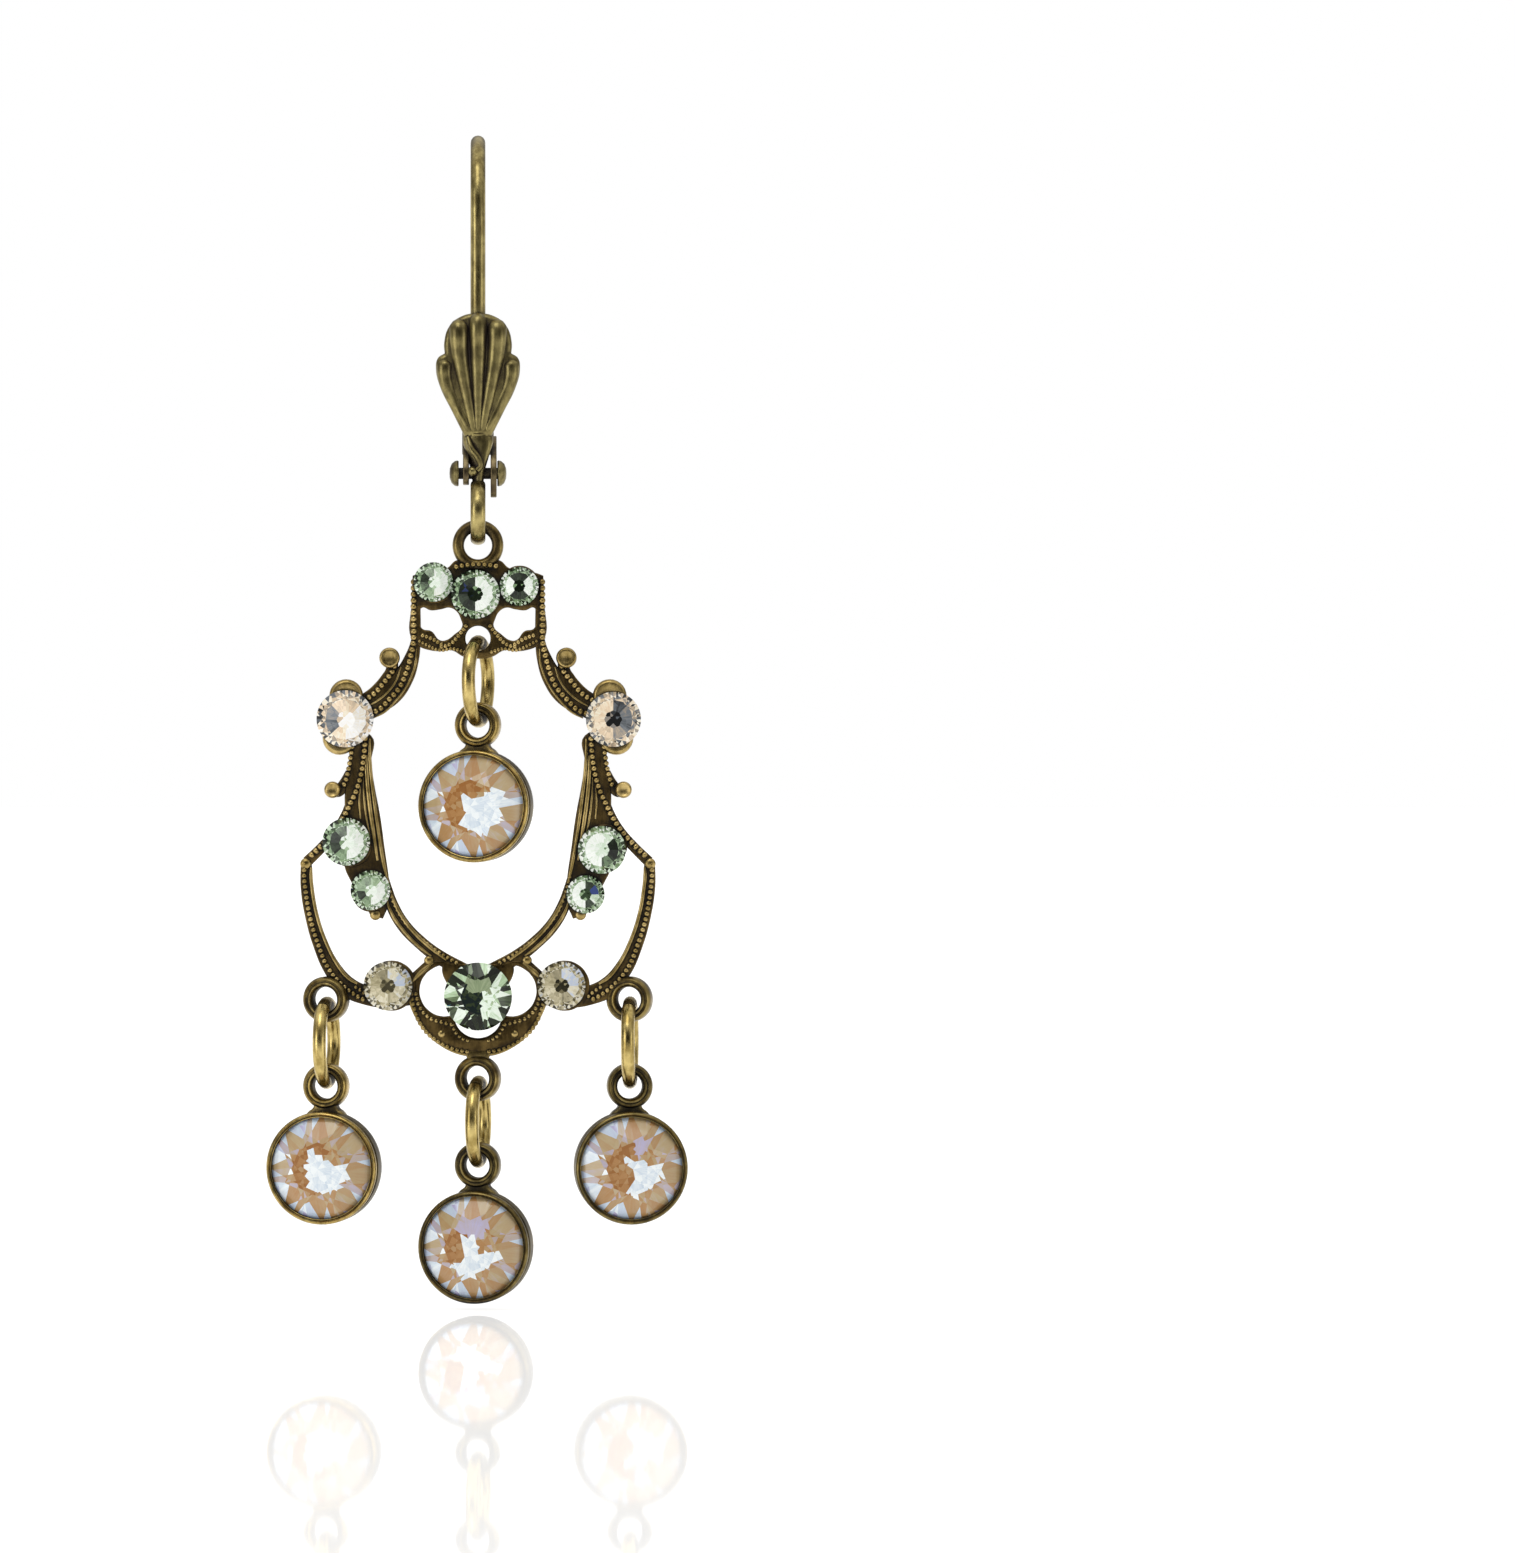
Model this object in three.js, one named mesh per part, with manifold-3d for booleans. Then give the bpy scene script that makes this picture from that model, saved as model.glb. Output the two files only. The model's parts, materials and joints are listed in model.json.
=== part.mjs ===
// A chandelier earring in antiqued brass: a lever-back ear wire with a fluted shell, a cast filigree
// frame that hangs from it, twelve glued flat-back crystals, and four crystal drops on jump rings.
// Millimetres, +Z up. The front faces -Y. The origin is on the ear wire, at the top of its bend.
import * as THREE from "three";
import { mergeVertices } from "three/addons/utils/BufferGeometryUtils.js";
import Module from "manifold-3d";

const wasm = await Module();
wasm.setup();

// ---------- driving dimensions ----------
const CLEARANCE = 0.06; // between pieces that lie against each other

const WIRE_RADIUS = 0.45;
const HOOP_RADIUS = 4.2; // centre line of the ear wire's bend
const HOOP_LEG_BOTTOM = -13.2; // where the front leg ends, soldered behind the shell
const HOOP_TIP = { y: 3.95, z: -12.3 };

const PLATE_Y = -4.4; // the plane of the neck, the rivet and everything that hangs below
const SHELL = { front: -5.35, thickness: 1.05 };
const NECK = { top: -17.7, bottom: -21.5, topHalfWidth: 0.72, bottomHalfWidth: 0.5, depth: 1.3 };

const RIVET = { z: -20.2, shaftRadius: 0.34, headRadius: 0.78, headHeight: 0.55 };
const RIVET_BORE = RIVET.shaftRadius + CLEARANCE;

// The hanger is the flat-sided eye at the foot of the neck. Its strip is wider than it is thick.
const HANGER = { radius: 1.65, halfThick: 0.33, halfWide: 0.45, z: -22.52 };
const HANGER_FOOT = HANGER.z - HANGER.radius;

const EAR = { inner: 0.74, outer: 1.1 }; // the lever's two ears, either side of the neck
const LEVER = { thickness: 0.45, width: 1.9 };

const FRAME_THICKNESS = 0.8;
const SEAT_FRONT = -FRAME_THICKNESS / 2;
const HANG_RING = { hole: 0.82, outer: 1.53, thickness: 0.9, z: -24.52 };
const LOOP = { hole: 0.75, outer: 1.35, thickness: 1.0 };
const LOOP_TURN = -14; // degrees about Z that the cast loops stand turned

const LINK = { outer: 2.75, wire: 0.38, slack: 0.14 };
const LINK_RADIUS = LINK.outer - LINK.wire;

const CUP = { radius: 3.38, half: 1.5, lip: 2.95, bore: 3.14, wall: 0.3 };
const CUP_DROP = 4.85; // from the centre of a setting's loop to the centre of its cup

const STONE_SIDES = 12;
const DROP_STONE_SIDES = 16;
const ROUND_SIDES = 20;

// ---------- materials ----------
const brass = new THREE.MeshStandardMaterial({ color: 0x86713f, metalness: 1, roughness: 0.38 });
const castBrass = new THREE.MeshStandardMaterial({ color: 0x6b5530, metalness: 1, roughness: 0.5 });
const linkBrass = new THREE.MeshStandardMaterial({ color: 0xa08440, metalness: 1, roughness: 0.3 });
const crystals = {
  mint: new THREE.MeshStandardMaterial({ color: 0xb5d9b9, metalness: 0, roughness: 0.05 }),
  clear: new THREE.MeshStandardMaterial({ color: 0xe6e4dc, metalness: 0, roughness: 0.05 }),
  champagne: new THREE.MeshStandardMaterial({ color: 0xd8ceae, metalness: 0, roughness: 0.05 }),
  moss: new THREE.MeshStandardMaterial({ color: 0x7f9c80, metalness: 0, roughness: 0.05 }),
  peach: new THREE.MeshStandardMaterial({ color: 0xcf9f78, metalness: 0, roughness: 0.08 }),
};

// ---------- solids ----------
// A three.js geometry, placed by a matrix if one is given, as a solid that can be cut and joined.
function solid(geometry, matrix) {
  const bare = geometry.clone();
  bare.deleteAttribute("normal");
  bare.deleteAttribute("uv");
  if (matrix) bare.applyMatrix4(matrix);
  const merged = mergeVertices(bare, 1e-4);
  const vertProperties = merged.attributes.position.array;
  const triVerts = new Uint32Array(merged.index.array);
  return new wasm.Manifold(new wasm.Mesh({ numProp: 3, vertProperties, triVerts }));
}

function geometryOf(manifold) {
  const { vertProperties, triVerts, numProp } = manifold.getMesh();
  const geometry = new THREE.BufferGeometry();
  const data = new THREE.InterleavedBuffer(vertProperties, numProp);
  const position = new THREE.InterleavedBufferAttribute(data, 3, 0);
  const plain = new THREE.Float32BufferAttribute(position.count * 3, 3);
  for (let i = 0; i < position.count; i++) {
    plain.setXYZ(i, position.getX(i), position.getY(i), position.getZ(i));
  }
  geometry.setAttribute("position", plain);
  geometry.setIndex(new THREE.BufferAttribute(triVerts, 1));
  geometry.computeVertexNormals();
  return geometry;
}

const join = (solids) => solids.reduce((sum, next) => sum.add(next));

function shapeOf(points) {
  return new THREE.Shape(points.map(([x, y]) => new THREE.Vector2(x, y)));
}

// A flat shape drawn in X and Z, given a thickness along Y about the plane Y = 0.
function plate(shape, thickness) {
  const geometry = new THREE.ExtrudeGeometry(shape, {
    depth: thickness,
    bevelEnabled: false,
    curveSegments: ROUND_SIDES / 2,
  });
  return geometry.rotateX(Math.PI / 2).translate(0, thickness / 2, 0);
}

// A flat shape drawn in Y and Z, given a thickness along X about the plane X = 0.
function sidePlate(shape, thickness) {
  const geometry = new THREE.ExtrudeGeometry(shape, { depth: thickness, bevelEnabled: false });
  return geometry.rotateX(Math.PI / 2).rotateZ(Math.PI / 2).translate(-thickness / 2, 0, 0);
}

function disc(x, z, radius, thickness) {
  const geometry = new THREE.CylinderGeometry(radius, radius, thickness, ROUND_SIDES);
  return geometry.translate(x, 0, z);
}

// The outline of a band that follows a route. Each row of the route is [x, z, width].
function bandShape(route, steps) {
  const line = new THREE.CatmullRomCurve3(
    route.map(([x, z, width]) => new THREE.Vector3(x, z, width)),
    false,
    "centripetal",
  );
  const left = [];
  const right = [];
  for (let i = 0; i <= steps; i++) {
    const { x, y, z: width } = line.getPoint(i / steps);
    const along = line.getTangent(i / steps).setZ(0).normalize();
    const reach = width / 2;
    left.push([x - along.y * reach, y + along.x * reach]);
    right.unshift([x + along.y * reach, y - along.x * reach]);
  }
  return shapeOf([...left.reverse(), ...right.reverse()]);
}

const mirrored = (points) => points.map(([x, ...rest]) => [-x, ...rest]);
const mirrorX = new THREE.Matrix4().makeScale(-1, 1, 1);

// A flat ring standing in the X-Z plane, turned about Z by some degrees.
function flatRing(hole, outer, thickness, turn = 0) {
  const shape = new THREE.Shape().absarc(0, 0, outer, 0, Math.PI * 2, false);
  shape.holes.push(new THREE.Path().absarc(0, 0, hole, 0, Math.PI * 2, true));
  return plate(shape, thickness).rotateZ(THREE.MathUtils.degToRad(turn));
}

function mesh(name, geometry, material) {
  const made = new THREE.Mesh(geometry, material);
  made.name = name;
  return made;
}

// ---------- the ear wire: hoop, shell, neck and hanger, soldered into one ----------
function hoopRoute() {
  const points = [new THREE.Vector3(0, -HOOP_RADIUS, HOOP_LEG_BOTTOM)];
  for (const z of [-11, -8.5, -6.2]) points.push(new THREE.Vector3(0, -HOOP_RADIUS, z));
  for (let angle = 180; angle >= 0; angle -= 22.5) {
    const turn = THREE.MathUtils.degToRad(angle);
    const y = HOOP_RADIUS * Math.cos(turn);
    const z = HOOP_RADIUS * (Math.sin(turn) - 1);
    points.push(new THREE.Vector3(0, y, z));
  }
  points.push(new THREE.Vector3(0, 4.15, -8.2));
  points.push(new THREE.Vector3(0, HOOP_TIP.y, HOOP_TIP.z));
  return new THREE.CatmullRomCurve3(points, false, "centripetal");
}

function hoopSolid() {
  const section = new THREE.Shape().absarc(0, 0, WIRE_RADIUS, 0, Math.PI * 2, false);
  const geometry = new THREE.ExtrudeGeometry(section, {
    steps: 30,
    curveSegments: 4,
    extrudePath: hoopRoute(),
  });
  return solid(geometry);
}

// Half of the shell's outline, from the middle of its top edge down its right side.
const SHELL_EDGE = [
  [0.0, -10.62],
  [0.9, -10.8],
  [1.75, -11.5],
  [2.05, -12.6],
  [2.0, -13.0],
  [2.35, -13.3],
  [2.5, -13.95],
  [2.28, -15.0],
  [1.55, -16.5],
  [0.8, -18.0],
];

function shellSolid() {
  const outline = [...SHELL_EDGE, ...mirrored(SHELL_EDGE.slice(1)).reverse()].reverse();
  const bevel = 0.2;
  const geometry = new THREE.ExtrudeGeometry(shapeOf(outline), {
    depth: SHELL.thickness - 2 * bevel,
    bevelThickness: bevel,
    bevelSize: bevel,
    bevelOffset: -bevel,
    bevelSegments: 1,
  });
  return solid(geometry.rotateX(Math.PI / 2).translate(0, SHELL.front + SHELL.thickness - bevel, 0));
}

function neckSolid() {
  const { top, bottom, topHalfWidth, bottomHalfWidth, depth } = NECK;
  const outline = shapeOf([
    [-topHalfWidth, top],
    [-bottomHalfWidth, bottom],
    [bottomHalfWidth, bottom],
    [topHalfWidth, top],
  ]);
  return solid(plate(outline, depth).translate(0, PLATE_Y, 0));
}

function hangerSolid() {
  const geometry = new THREE.TorusGeometry(HANGER.radius, HANGER.halfThick, 8, ROUND_SIDES);
  geometry.scale(1, 1, HANGER.halfWide / HANGER.halfThick).rotateY(Math.PI / 2);
  return solid(geometry.translate(0, PLATE_Y, HANGER.z));
}

function rivetBore() {
  const geometry = new THREE.CylinderGeometry(RIVET_BORE, RIVET_BORE, 4, 16).rotateZ(Math.PI / 2);
  return solid(geometry.translate(0, PLATE_Y, RIVET.z));
}

function earWire() {
  const soldered = join([hoopSolid(), shellSolid(), neckSolid(), hangerSolid()]);
  return mesh("ear_wire", geometryOf(soldered.subtract(rivetBore())), brass);
}

// ---------- the rivet that the lever turns on ----------
function hingeRivet() {
  const seat = EAR.outer + CLEARANCE;
  const { shaftRadius, headRadius, headHeight } = RIVET;
  const half = [
    [shaftRadius, 0],
    [shaftRadius, seat],
    [headRadius, seat],
    [headRadius * 0.9, seat + headHeight * 0.55],
    [headRadius * 0.5, seat + headHeight * 0.92],
    [0, seat + headHeight],
  ];
  const other = half.slice(1).map(([radius, along]) => [radius, -along]);
  const profile = [...other.reverse(), ...half.slice(1)].map(([r, a]) => new THREE.Vector2(r, a));
  const geometry = new THREE.LatheGeometry(profile, 16).rotateZ(Math.PI / 2);
  const rivet = mesh("hinge_rivet", geometry, brass);
  rivet.position.set(0, PLATE_Y, RIVET.z);
  return rivet;
}

// ---------- the lever: two ears on the rivet, a web behind the neck, and a bowed arm ----------
// One ear, in Y and Z, from its tail under the rivet round to the foot of the arm.
const EAR_EDGE = [
  [-4.95, -21.2],
  [-4.6, -21.65],
  [-4.2, -21.65],
  [-3.75, -21.1],
  [-3.1, -20.0],
  [-2.75, -19.2],
  [-2.3, -18.1],
  [-3.1, -17.8],
  [-4.1, -18.6],
  [-5.1, -19.6],
  [-5.3, -20.3],
];

// The arm's middle line, in Y and Z, with its thickness.
const ARM_ROUTE = [
  [-2.98, -18.95, LEVER.thickness],
  [-2.6, -17.95, LEVER.thickness],
  [-1.0, -16.5, LEVER.thickness],
  [1.4, -15.4, LEVER.thickness],
  [3.7, -14.3, LEVER.thickness],
  [4.75, -12.7, LEVER.thickness],
  [4.95, -11.0, LEVER.thickness],
];

function earSolid(side) {
  const thickness = EAR.outer - EAR.inner;
  const middle = (side * (EAR.outer + EAR.inner)) / 2;
  return solid(sidePlate(shapeOf(EAR_EDGE), thickness).translate(middle, 0, 0));
}

function armSolid() {
  return solid(sidePlate(bandShape(ARM_ROUTE, 16), LEVER.width));
}

// The two cheeks at the top of the arm, which keep the wire's tip from sliding off sideways.
function cheekSolid(side) {
  const thickness = 0.28;
  const outline = shapeOf([
    [3.9, -12.3],
    [4.9, -12.5],
    [5.05, -11.1],
    [4.3, -10.95],
  ]);
  const middle = side * (LEVER.width / 2 - thickness / 2);
  return solid(sidePlate(outline, thickness).translate(middle, 0, 0));
}

function lever() {
  const pressed = join([armSolid(), earSolid(1), earSolid(-1), cheekSolid(1), cheekSolid(-1)]);
  return mesh("lever", geometryOf(pressed.subtract(rivetBore())), brass);
}

// ---------- the cast frame, about the centre of its hang ring ----------
// Half of the top plate, which joins the ring, the two posts and the eyelet for the middle drop.
const TOP_PLATE_EDGE = [
  [0.0, -0.95],
  [1.2, -0.85],
  [1.8, -1.3],
  [3.6, -1.7],
  [3.95, -1.8],
  [3.95, -5.6],
  [3.5, -6.05],
  [2.8, -6.3],
  [1.6, -6.27],
  [0.75, -6.7],
  [0.0, -6.85],
];
const TOP_WINDOW = [
  [3.35, -3.7],
  [2.75, -3.9],
  [1.6, -3.7],
  [1.2, -3.95],
  [0.98, -4.4],
  [1.05, -4.9],
  [1.35, -5.35],
  [1.85, -5.7],
  [2.15, -5.7],
  [2.7, -5.15],
  [3.3, -5.0],
];
const EYELET = { x: 0, z: -5.58 };

// Bands on the right-hand side, as [x, z, width]. The left-hand ones mirror them.
const BANDS = {
  shoulder: [
    [3.68, -3.25, 0.55],
    [3.68, -5.65, 0.6],
    [4.0, -6.85, 0.95],
    [4.6, -8.05, 1.3],
    [5.5, -9.0, 1.4],
    [6.5, -9.6, 1.3],
    [7.6, -10.2, 1.2],
  ],
  upper_scroll: [
    [4.3, -6.75, 0.5],
    [4.8, -6.62, 0.45],
    [5.25, -6.7, 0.4],
  ],
  lower_scroll: [
    [7.7, -14.4, 0.6],
    [8.2, -14.7, 0.5],
    [8.55, -14.9, 0.4],
  ],
  hip_arm: [
    [7.7, -17.7, 0.7],
    [9.2, -18.5, 0.68],
    [10.35, -19.3, 0.7],
  ],
  hip: [
    [10.3, -19.2, 0.72],
    [10.25, -20.5, 0.75],
    [9.93, -22.3, 0.8],
    [9.4, -23.9, 0.85],
    [8.65, -25.4, 0.95],
    [7.7, -26.5, 1.1],
    [6.6, -27.05, 1.1],
    [5.4, -27.3, 1.0],
    [4.1, -27.2, 0.9],
  ],
  inner_rail: [
    [5.62, -19.6, 0.55],
    [5.5, -20.5, 0.7],
    [5.15, -21.6, 0.8],
    [4.5, -22.75, 0.8],
    [3.5, -23.8, 0.8],
    [2.4, -24.65, 0.85],
    [1.0, -25.4, 0.9],
  ],
  link: [
    [3.9, -26.1, 0.7],
    [3.3, -25.5, 0.6],
    [2.6, -24.9, 0.7],
  ],
};

// The fluted leaf between the large side crystal and the two small ones under it.
const SIDE_LEAF = [
  [7.75, -11.4],
  [7.9, -13.1],
  [8.05, -14.6],
  [8.0, -16.0],
  [8.2, -17.6],
  [8.0, -19.4],
  [7.5, -20.3],
  [6.5, -22.2],
  [5.7, -22.4],
  [5.0, -21.1],
  [5.3, -20.0],
  [5.55, -18.2],
  [5.85, -16.3],
  [6.2, -14.5],
  [6.4, -13.1],
  [6.45, -11.4],
];

// Round seats and knobs on the right-hand side, as [x, z, radius].
const SEATS = {
  side: [8.05, -10.4, 1.55],
  petal_above: [7.5, -8.8, 0.8],
  petal_below: [8.5, -12.1, 0.75],
  upper_knob: [5.28, -6.85, 0.44],
  lower_knob: [8.6, -14.95, 0.46],
  hip: [7.65, -18.0, 1.3],
  low: [6.45, -20.9, 1.1],
  swag: [5.2, -26.35, 1.6],
};
const TOP_SEATS = [
  [-2.6, -2.3, 1.15],
  [0, -2.95, 1.4],
  [2.5, -2.4, 1.15],
];

const CRESCENT = { z: -26.43, radius: 4.2, top: -26.6 };
const LOBE = { x: 1.95, z: -26.73, window: 1.55, rim: 2.05 };
const FOOT_LOBE = { z: -28.12, window: 1.45 };
const CENTRE_SEAT = { z: -27.0, radius: 1.85, tabHalfWidth: 2.25, tabTop: -25.1, tabFoot: -26.5 };

const HIP_LOOP = { x: 9.1, z: -27.24 };
const FOOT_LOOP = { x: 0, z: -31.98 };

function bothSides(geometry) {
  const right = solid(geometry);
  const flipped = geometry.clone().applyMatrix4(mirrorX);
  const index = flipped.index ? flipped : mergeVertices(flipped, 1e-4);
  const order = index.index.array;
  for (let i = 0; i < order.length; i += 3) [order[i], order[i + 1]] = [order[i + 1], order[i]];
  return right.add(solid(index));
}

function topPlateSolid() {
  const edge = [...TOP_PLATE_EDGE, ...mirrored(TOP_PLATE_EDGE.slice(1, -1)).reverse()].reverse();
  const shape = shapeOf(edge);
  shape.holes.push(shapeOf(TOP_WINDOW), shapeOf(mirrored(TOP_WINDOW).reverse()));
  return solid(plate(shape, FRAME_THICKNESS));
}

function crescentSolid() {
  const { z, radius, top } = CRESCENT;
  const reach = Math.acos((top - z) / radius) - Math.PI / 2;
  const bowl = new THREE.Shape().absarc(0, z, radius, -reach, -Math.PI + reach, true);
  const windowDepth = FRAME_THICKNESS * 3;
  const rims = bothSides(disc(LOBE.x, LOBE.z, LOBE.rim, FRAME_THICKNESS));
  const windows = bothSides(disc(LOBE.x, LOBE.z, LOBE.window, windowDepth));
  const footWindow = solid(disc(0, FOOT_LOBE.z, FOOT_LOBE.window, windowDepth));
  const full = solid(plate(bowl, FRAME_THICKNESS)).add(rims);
  const pierced = full.subtract(windows).subtract(footWindow);

  const seat = solid(disc(0, CENTRE_SEAT.z, CENTRE_SEAT.radius, FRAME_THICKNESS));
  const { tabHalfWidth, tabTop, tabFoot } = CENTRE_SEAT;
  const tab = shapeOf([
    [-tabHalfWidth, tabFoot],
    [tabHalfWidth, tabFoot],
    [tabHalfWidth * 0.6, tabTop],
    [-tabHalfWidth * 0.6, tabTop],
  ]);
  return pierced.add(seat).add(solid(plate(tab, FRAME_THICKNESS)));
}

function castLoop(x, z) {
  return solid(flatRing(LOOP.hole, LOOP.outer, LOOP.thickness, LOOP_TURN).translate(x, 0, z));
}

function frame() {
  const bands = Object.values(BANDS).map((route) => {
    return bothSides(plate(bandShape(route, 2 * route.length), FRAME_THICKNESS));
  });
  const seats = Object.values(SEATS).map(([x, z, radius]) => {
    return bothSides(disc(x, z, radius, FRAME_THICKNESS));
  });
  const topSeats = TOP_SEATS.map(([x, z, radius]) => solid(disc(x, z, radius, FRAME_THICKNESS)));
  const leaf = bothSides(plate(shapeOf([...SIDE_LEAF].reverse()), FRAME_THICKNESS));
  const neckEdge = shapeOf([
    [-0.6, -31],
    [0.6, -31],
    [0.8, -30.3],
    [-0.8, -30.3],
  ]);
  const footNeck = solid(plate(neckEdge, 0.7));
  const holeDepth = 3;
  const holes = [
    disc(EYELET.x, EYELET.z, LOOP.hole, holeDepth),
    disc(0, 0, HANG_RING.hole, holeDepth),
    flatHole(HIP_LOOP.x, HIP_LOOP.z),
    flatHole(-HIP_LOOP.x, HIP_LOOP.z),
    flatHole(FOOT_LOOP.x, FOOT_LOOP.z),
  ];
  const metal = join([
    topPlateSolid(),
    ...topSeats,
    ...bands,
    ...seats,
    leaf,
    crescentSolid(),
    footNeck,
    castLoop(HIP_LOOP.x, HIP_LOOP.z),
    castLoop(-HIP_LOOP.x, HIP_LOOP.z),
    castLoop(FOOT_LOOP.x, FOOT_LOOP.z),
    solid(flatRing(HANG_RING.hole, HANG_RING.outer, HANG_RING.thickness)),
  ]);
  const pierced = holes.reduce((left, hole) => left.subtract(solid(hole)), metal);
  return mesh("frame", geometryOf(pierced), castBrass);
}

// The bore of a cast loop, which follows the loop's turn.
function flatHole(x, z) {
  const geometry = disc(0, 0, LOOP.hole, 3).rotateZ(THREE.MathUtils.degToRad(LOOP_TURN));
  return geometry.translate(x, 0, z);
}

// ---------- flat-back crystals glued on the frame's seats ----------
// x, z: place; radius: girdle; colour; tilt and turn: how far each leans about X and Z, in degrees.
const GLUED = [
  { name: "top_left", x: -2.68, z: -2.2, radius: 1.18, colour: "mint", tilt: 2, turn: 2 },
  { name: "top_centre", x: -0.15, z: -2.94, radius: 1.46, colour: "mint", tilt: 0, turn: -1 },
  { name: "top_right", x: 2.47, z: -2.46, radius: 1.16, colour: "mint", tilt: 0, turn: 0 },
  { name: "side_left", x: -7.97, z: -10.4, radius: 1.71, colour: "clear", tilt: 2, turn: 3 },
  { name: "side_right", x: 8.12, z: -10.44, radius: 1.65, colour: "clear", tilt: 0, turn: -1 },
  { name: "hip_left", x: -7.9, z: -17.77, radius: 1.43, colour: "mint", tilt: 2, turn: 3 },
  { name: "hip_right", x: 7.43, z: -18.26, radius: 1.43, colour: "mint", tilt: 0, turn: -2 },
  { name: "low_left", x: -6.45, z: -20.68, radius: 1.19, colour: "mint", tilt: 1, turn: 3 },
  { name: "low_right", x: 6.45, z: -20.93, radius: 1.14, colour: "mint", tilt: 0, turn: -2 },
  { name: "swag_left", x: -5.4, z: -26.42, radius: 1.46, colour: "champagne", tilt: -2, turn: 0 },
  { name: "swag_right", x: 5.0, z: -26.4, radius: 1.44, colour: "champagne", tilt: -2, turn: 0 },
  { name: "centre", x: 0, z: -27.0, radius: 2.03, colour: "moss", tilt: 0, turn: 0 },
];
const GLUE_GAP = 0.1;

function gluedCrystal({ name, x, z, radius, colour, tilt, turn }) {
  const girdle = 0.16 * radius;
  const height = 0.82 * radius;
  const profile = [
    [0, 0],
    [radius * 0.97, 0],
    [radius, -girdle * 0.5],
    [radius * 0.97, -girdle],
    [radius * 0.55, -height],
    [0, -height],
  ];
  const points = profile.map(([r, y]) => new THREE.Vector2(r, y));
  const cut = new THREE.LatheGeometry(points.reverse(), STONE_SIDES);
  const crystal = mesh(`crystal_${name}`, cut, crystals[colour]);
  crystal.position.set(x, SEAT_FRONT - GLUE_GAP, z);
  crystal.rotation.set(THREE.MathUtils.degToRad(tilt), 0, THREE.MathUtils.degToRad(turn));
  return crystal;
}

// ---------- the drops: a jump ring, a setting with its loop, and a faceted crystal ----------
// x, z: the hole of the frame that the drop hangs in; linkTurn, turn: degrees about Z.
const DROPS = [
  { name: "middle", ...EYELET, linkTurn: -14, turn: -12 },
  { name: "left", x: -HIP_LOOP.x, z: HIP_LOOP.z, linkTurn: -9, turn: -12 },
  { name: "foot", ...FOOT_LOOP, linkTurn: -9, turn: -12 },
  { name: "right", ...HIP_LOOP, linkTurn: -4, turn: 4 },
];
const LINK_DROP = LOOP.hole - LINK.wire - LINK.slack + LINK_RADIUS;

function jumpRing(name) {
  const geometry = new THREE.TorusGeometry(LINK_RADIUS, LINK.wire, 7, ROUND_SIDES);
  return mesh(`jump_ring_${name}`, geometry.rotateY(Math.PI / 2), linkBrass);
}

function setting(name) {
  const { radius, half, lip, bore, wall } = CUP;
  const profile = [
    [lip, -half],
    [radius - 0.08, -half],
    [radius, -half + 0.15],
    [radius, 0.2],
    [3.0, 1.0],
    [2.3, half],
    [0, half],
    [0, half - wall],
    [2.1, half - wall],
    [2.7, 0.8],
    [bore, 0.1],
    [bore, -half + 0.3],
    [lip, -half + 0.25],
    [lip, -half],
  ];
  const points = profile.map(([r, y]) => new THREE.Vector2(r, y));
  const turned = new THREE.LatheGeometry(points, ROUND_SIDES);
  const cup = solid(turned.translate(0, 0, -CUP_DROP));
  const loop = solid(flatRing(LOOP.hole, LOOP.outer, LOOP.thickness));
  const neckTop = -LOOP.hole - 0.2;
  const neckFoot = radius - CUP_DROP - 0.15;
  const outline = shapeOf([
    [-0.9, neckFoot],
    [0.9, neckFoot],
    [0.75, neckTop],
    [-0.75, neckTop],
  ]);
  const neck = solid(plate(outline, LOOP.thickness * 0.9));
  return mesh(`setting_${name}`, geometryOf(join([cup, loop, neck])), castBrass);
}

function dropCrystal(name) {
  const girdleFront = -CUP.half + 0.4;
  const girdle = 0.15;
  const profile = [
    [0, CUP.half - 0.42],
    [CUP.bore - 0.08, girdleFront + girdle],
    [CUP.bore - 0.08, girdleFront],
    [1.75, -CUP.half - 0.6],
    [0, -CUP.half - 0.6],
  ];
  const points = profile.map(([r, y]) => new THREE.Vector2(r, y));
  const cut = new THREE.LatheGeometry(points.reverse(), DROP_STONE_SIDES);
  const crystal = mesh(`crystal_${name}`, cut, crystals.peach);
  crystal.position.z = -CUP_DROP;
  return crystal;
}

function drop({ name, x, z, linkTurn, turn }) {
  const group = new THREE.Group();
  const link = jumpRing(name);
  link.position.set(x, 0, z - LINK_DROP);
  link.rotation.z = THREE.MathUtils.degToRad(linkTurn);
  const pendant = new THREE.Group();
  pendant.position.set(x, 0, z - 2 * LINK_DROP);
  pendant.rotation.z = THREE.MathUtils.degToRad(turn);
  pendant.add(setting(name), dropCrystal(name));
  group.add(link, pendant);
  return group;
}

// ---------- the whole earring ----------
const chandelier = new THREE.Group();
chandelier.position.set(0, PLATE_Y, HANG_RING.z);
chandelier.add(frame(), ...GLUED.map(gluedCrystal), ...DROPS.map(drop));

const earring = new THREE.Group();
earring.add(earWire(), hingeRivet(), lever(), chandelier);
export default earring;
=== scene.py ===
"""A chandelier earring in antiqued brass and foiled crystal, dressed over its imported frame."""

import json
import math

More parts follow.
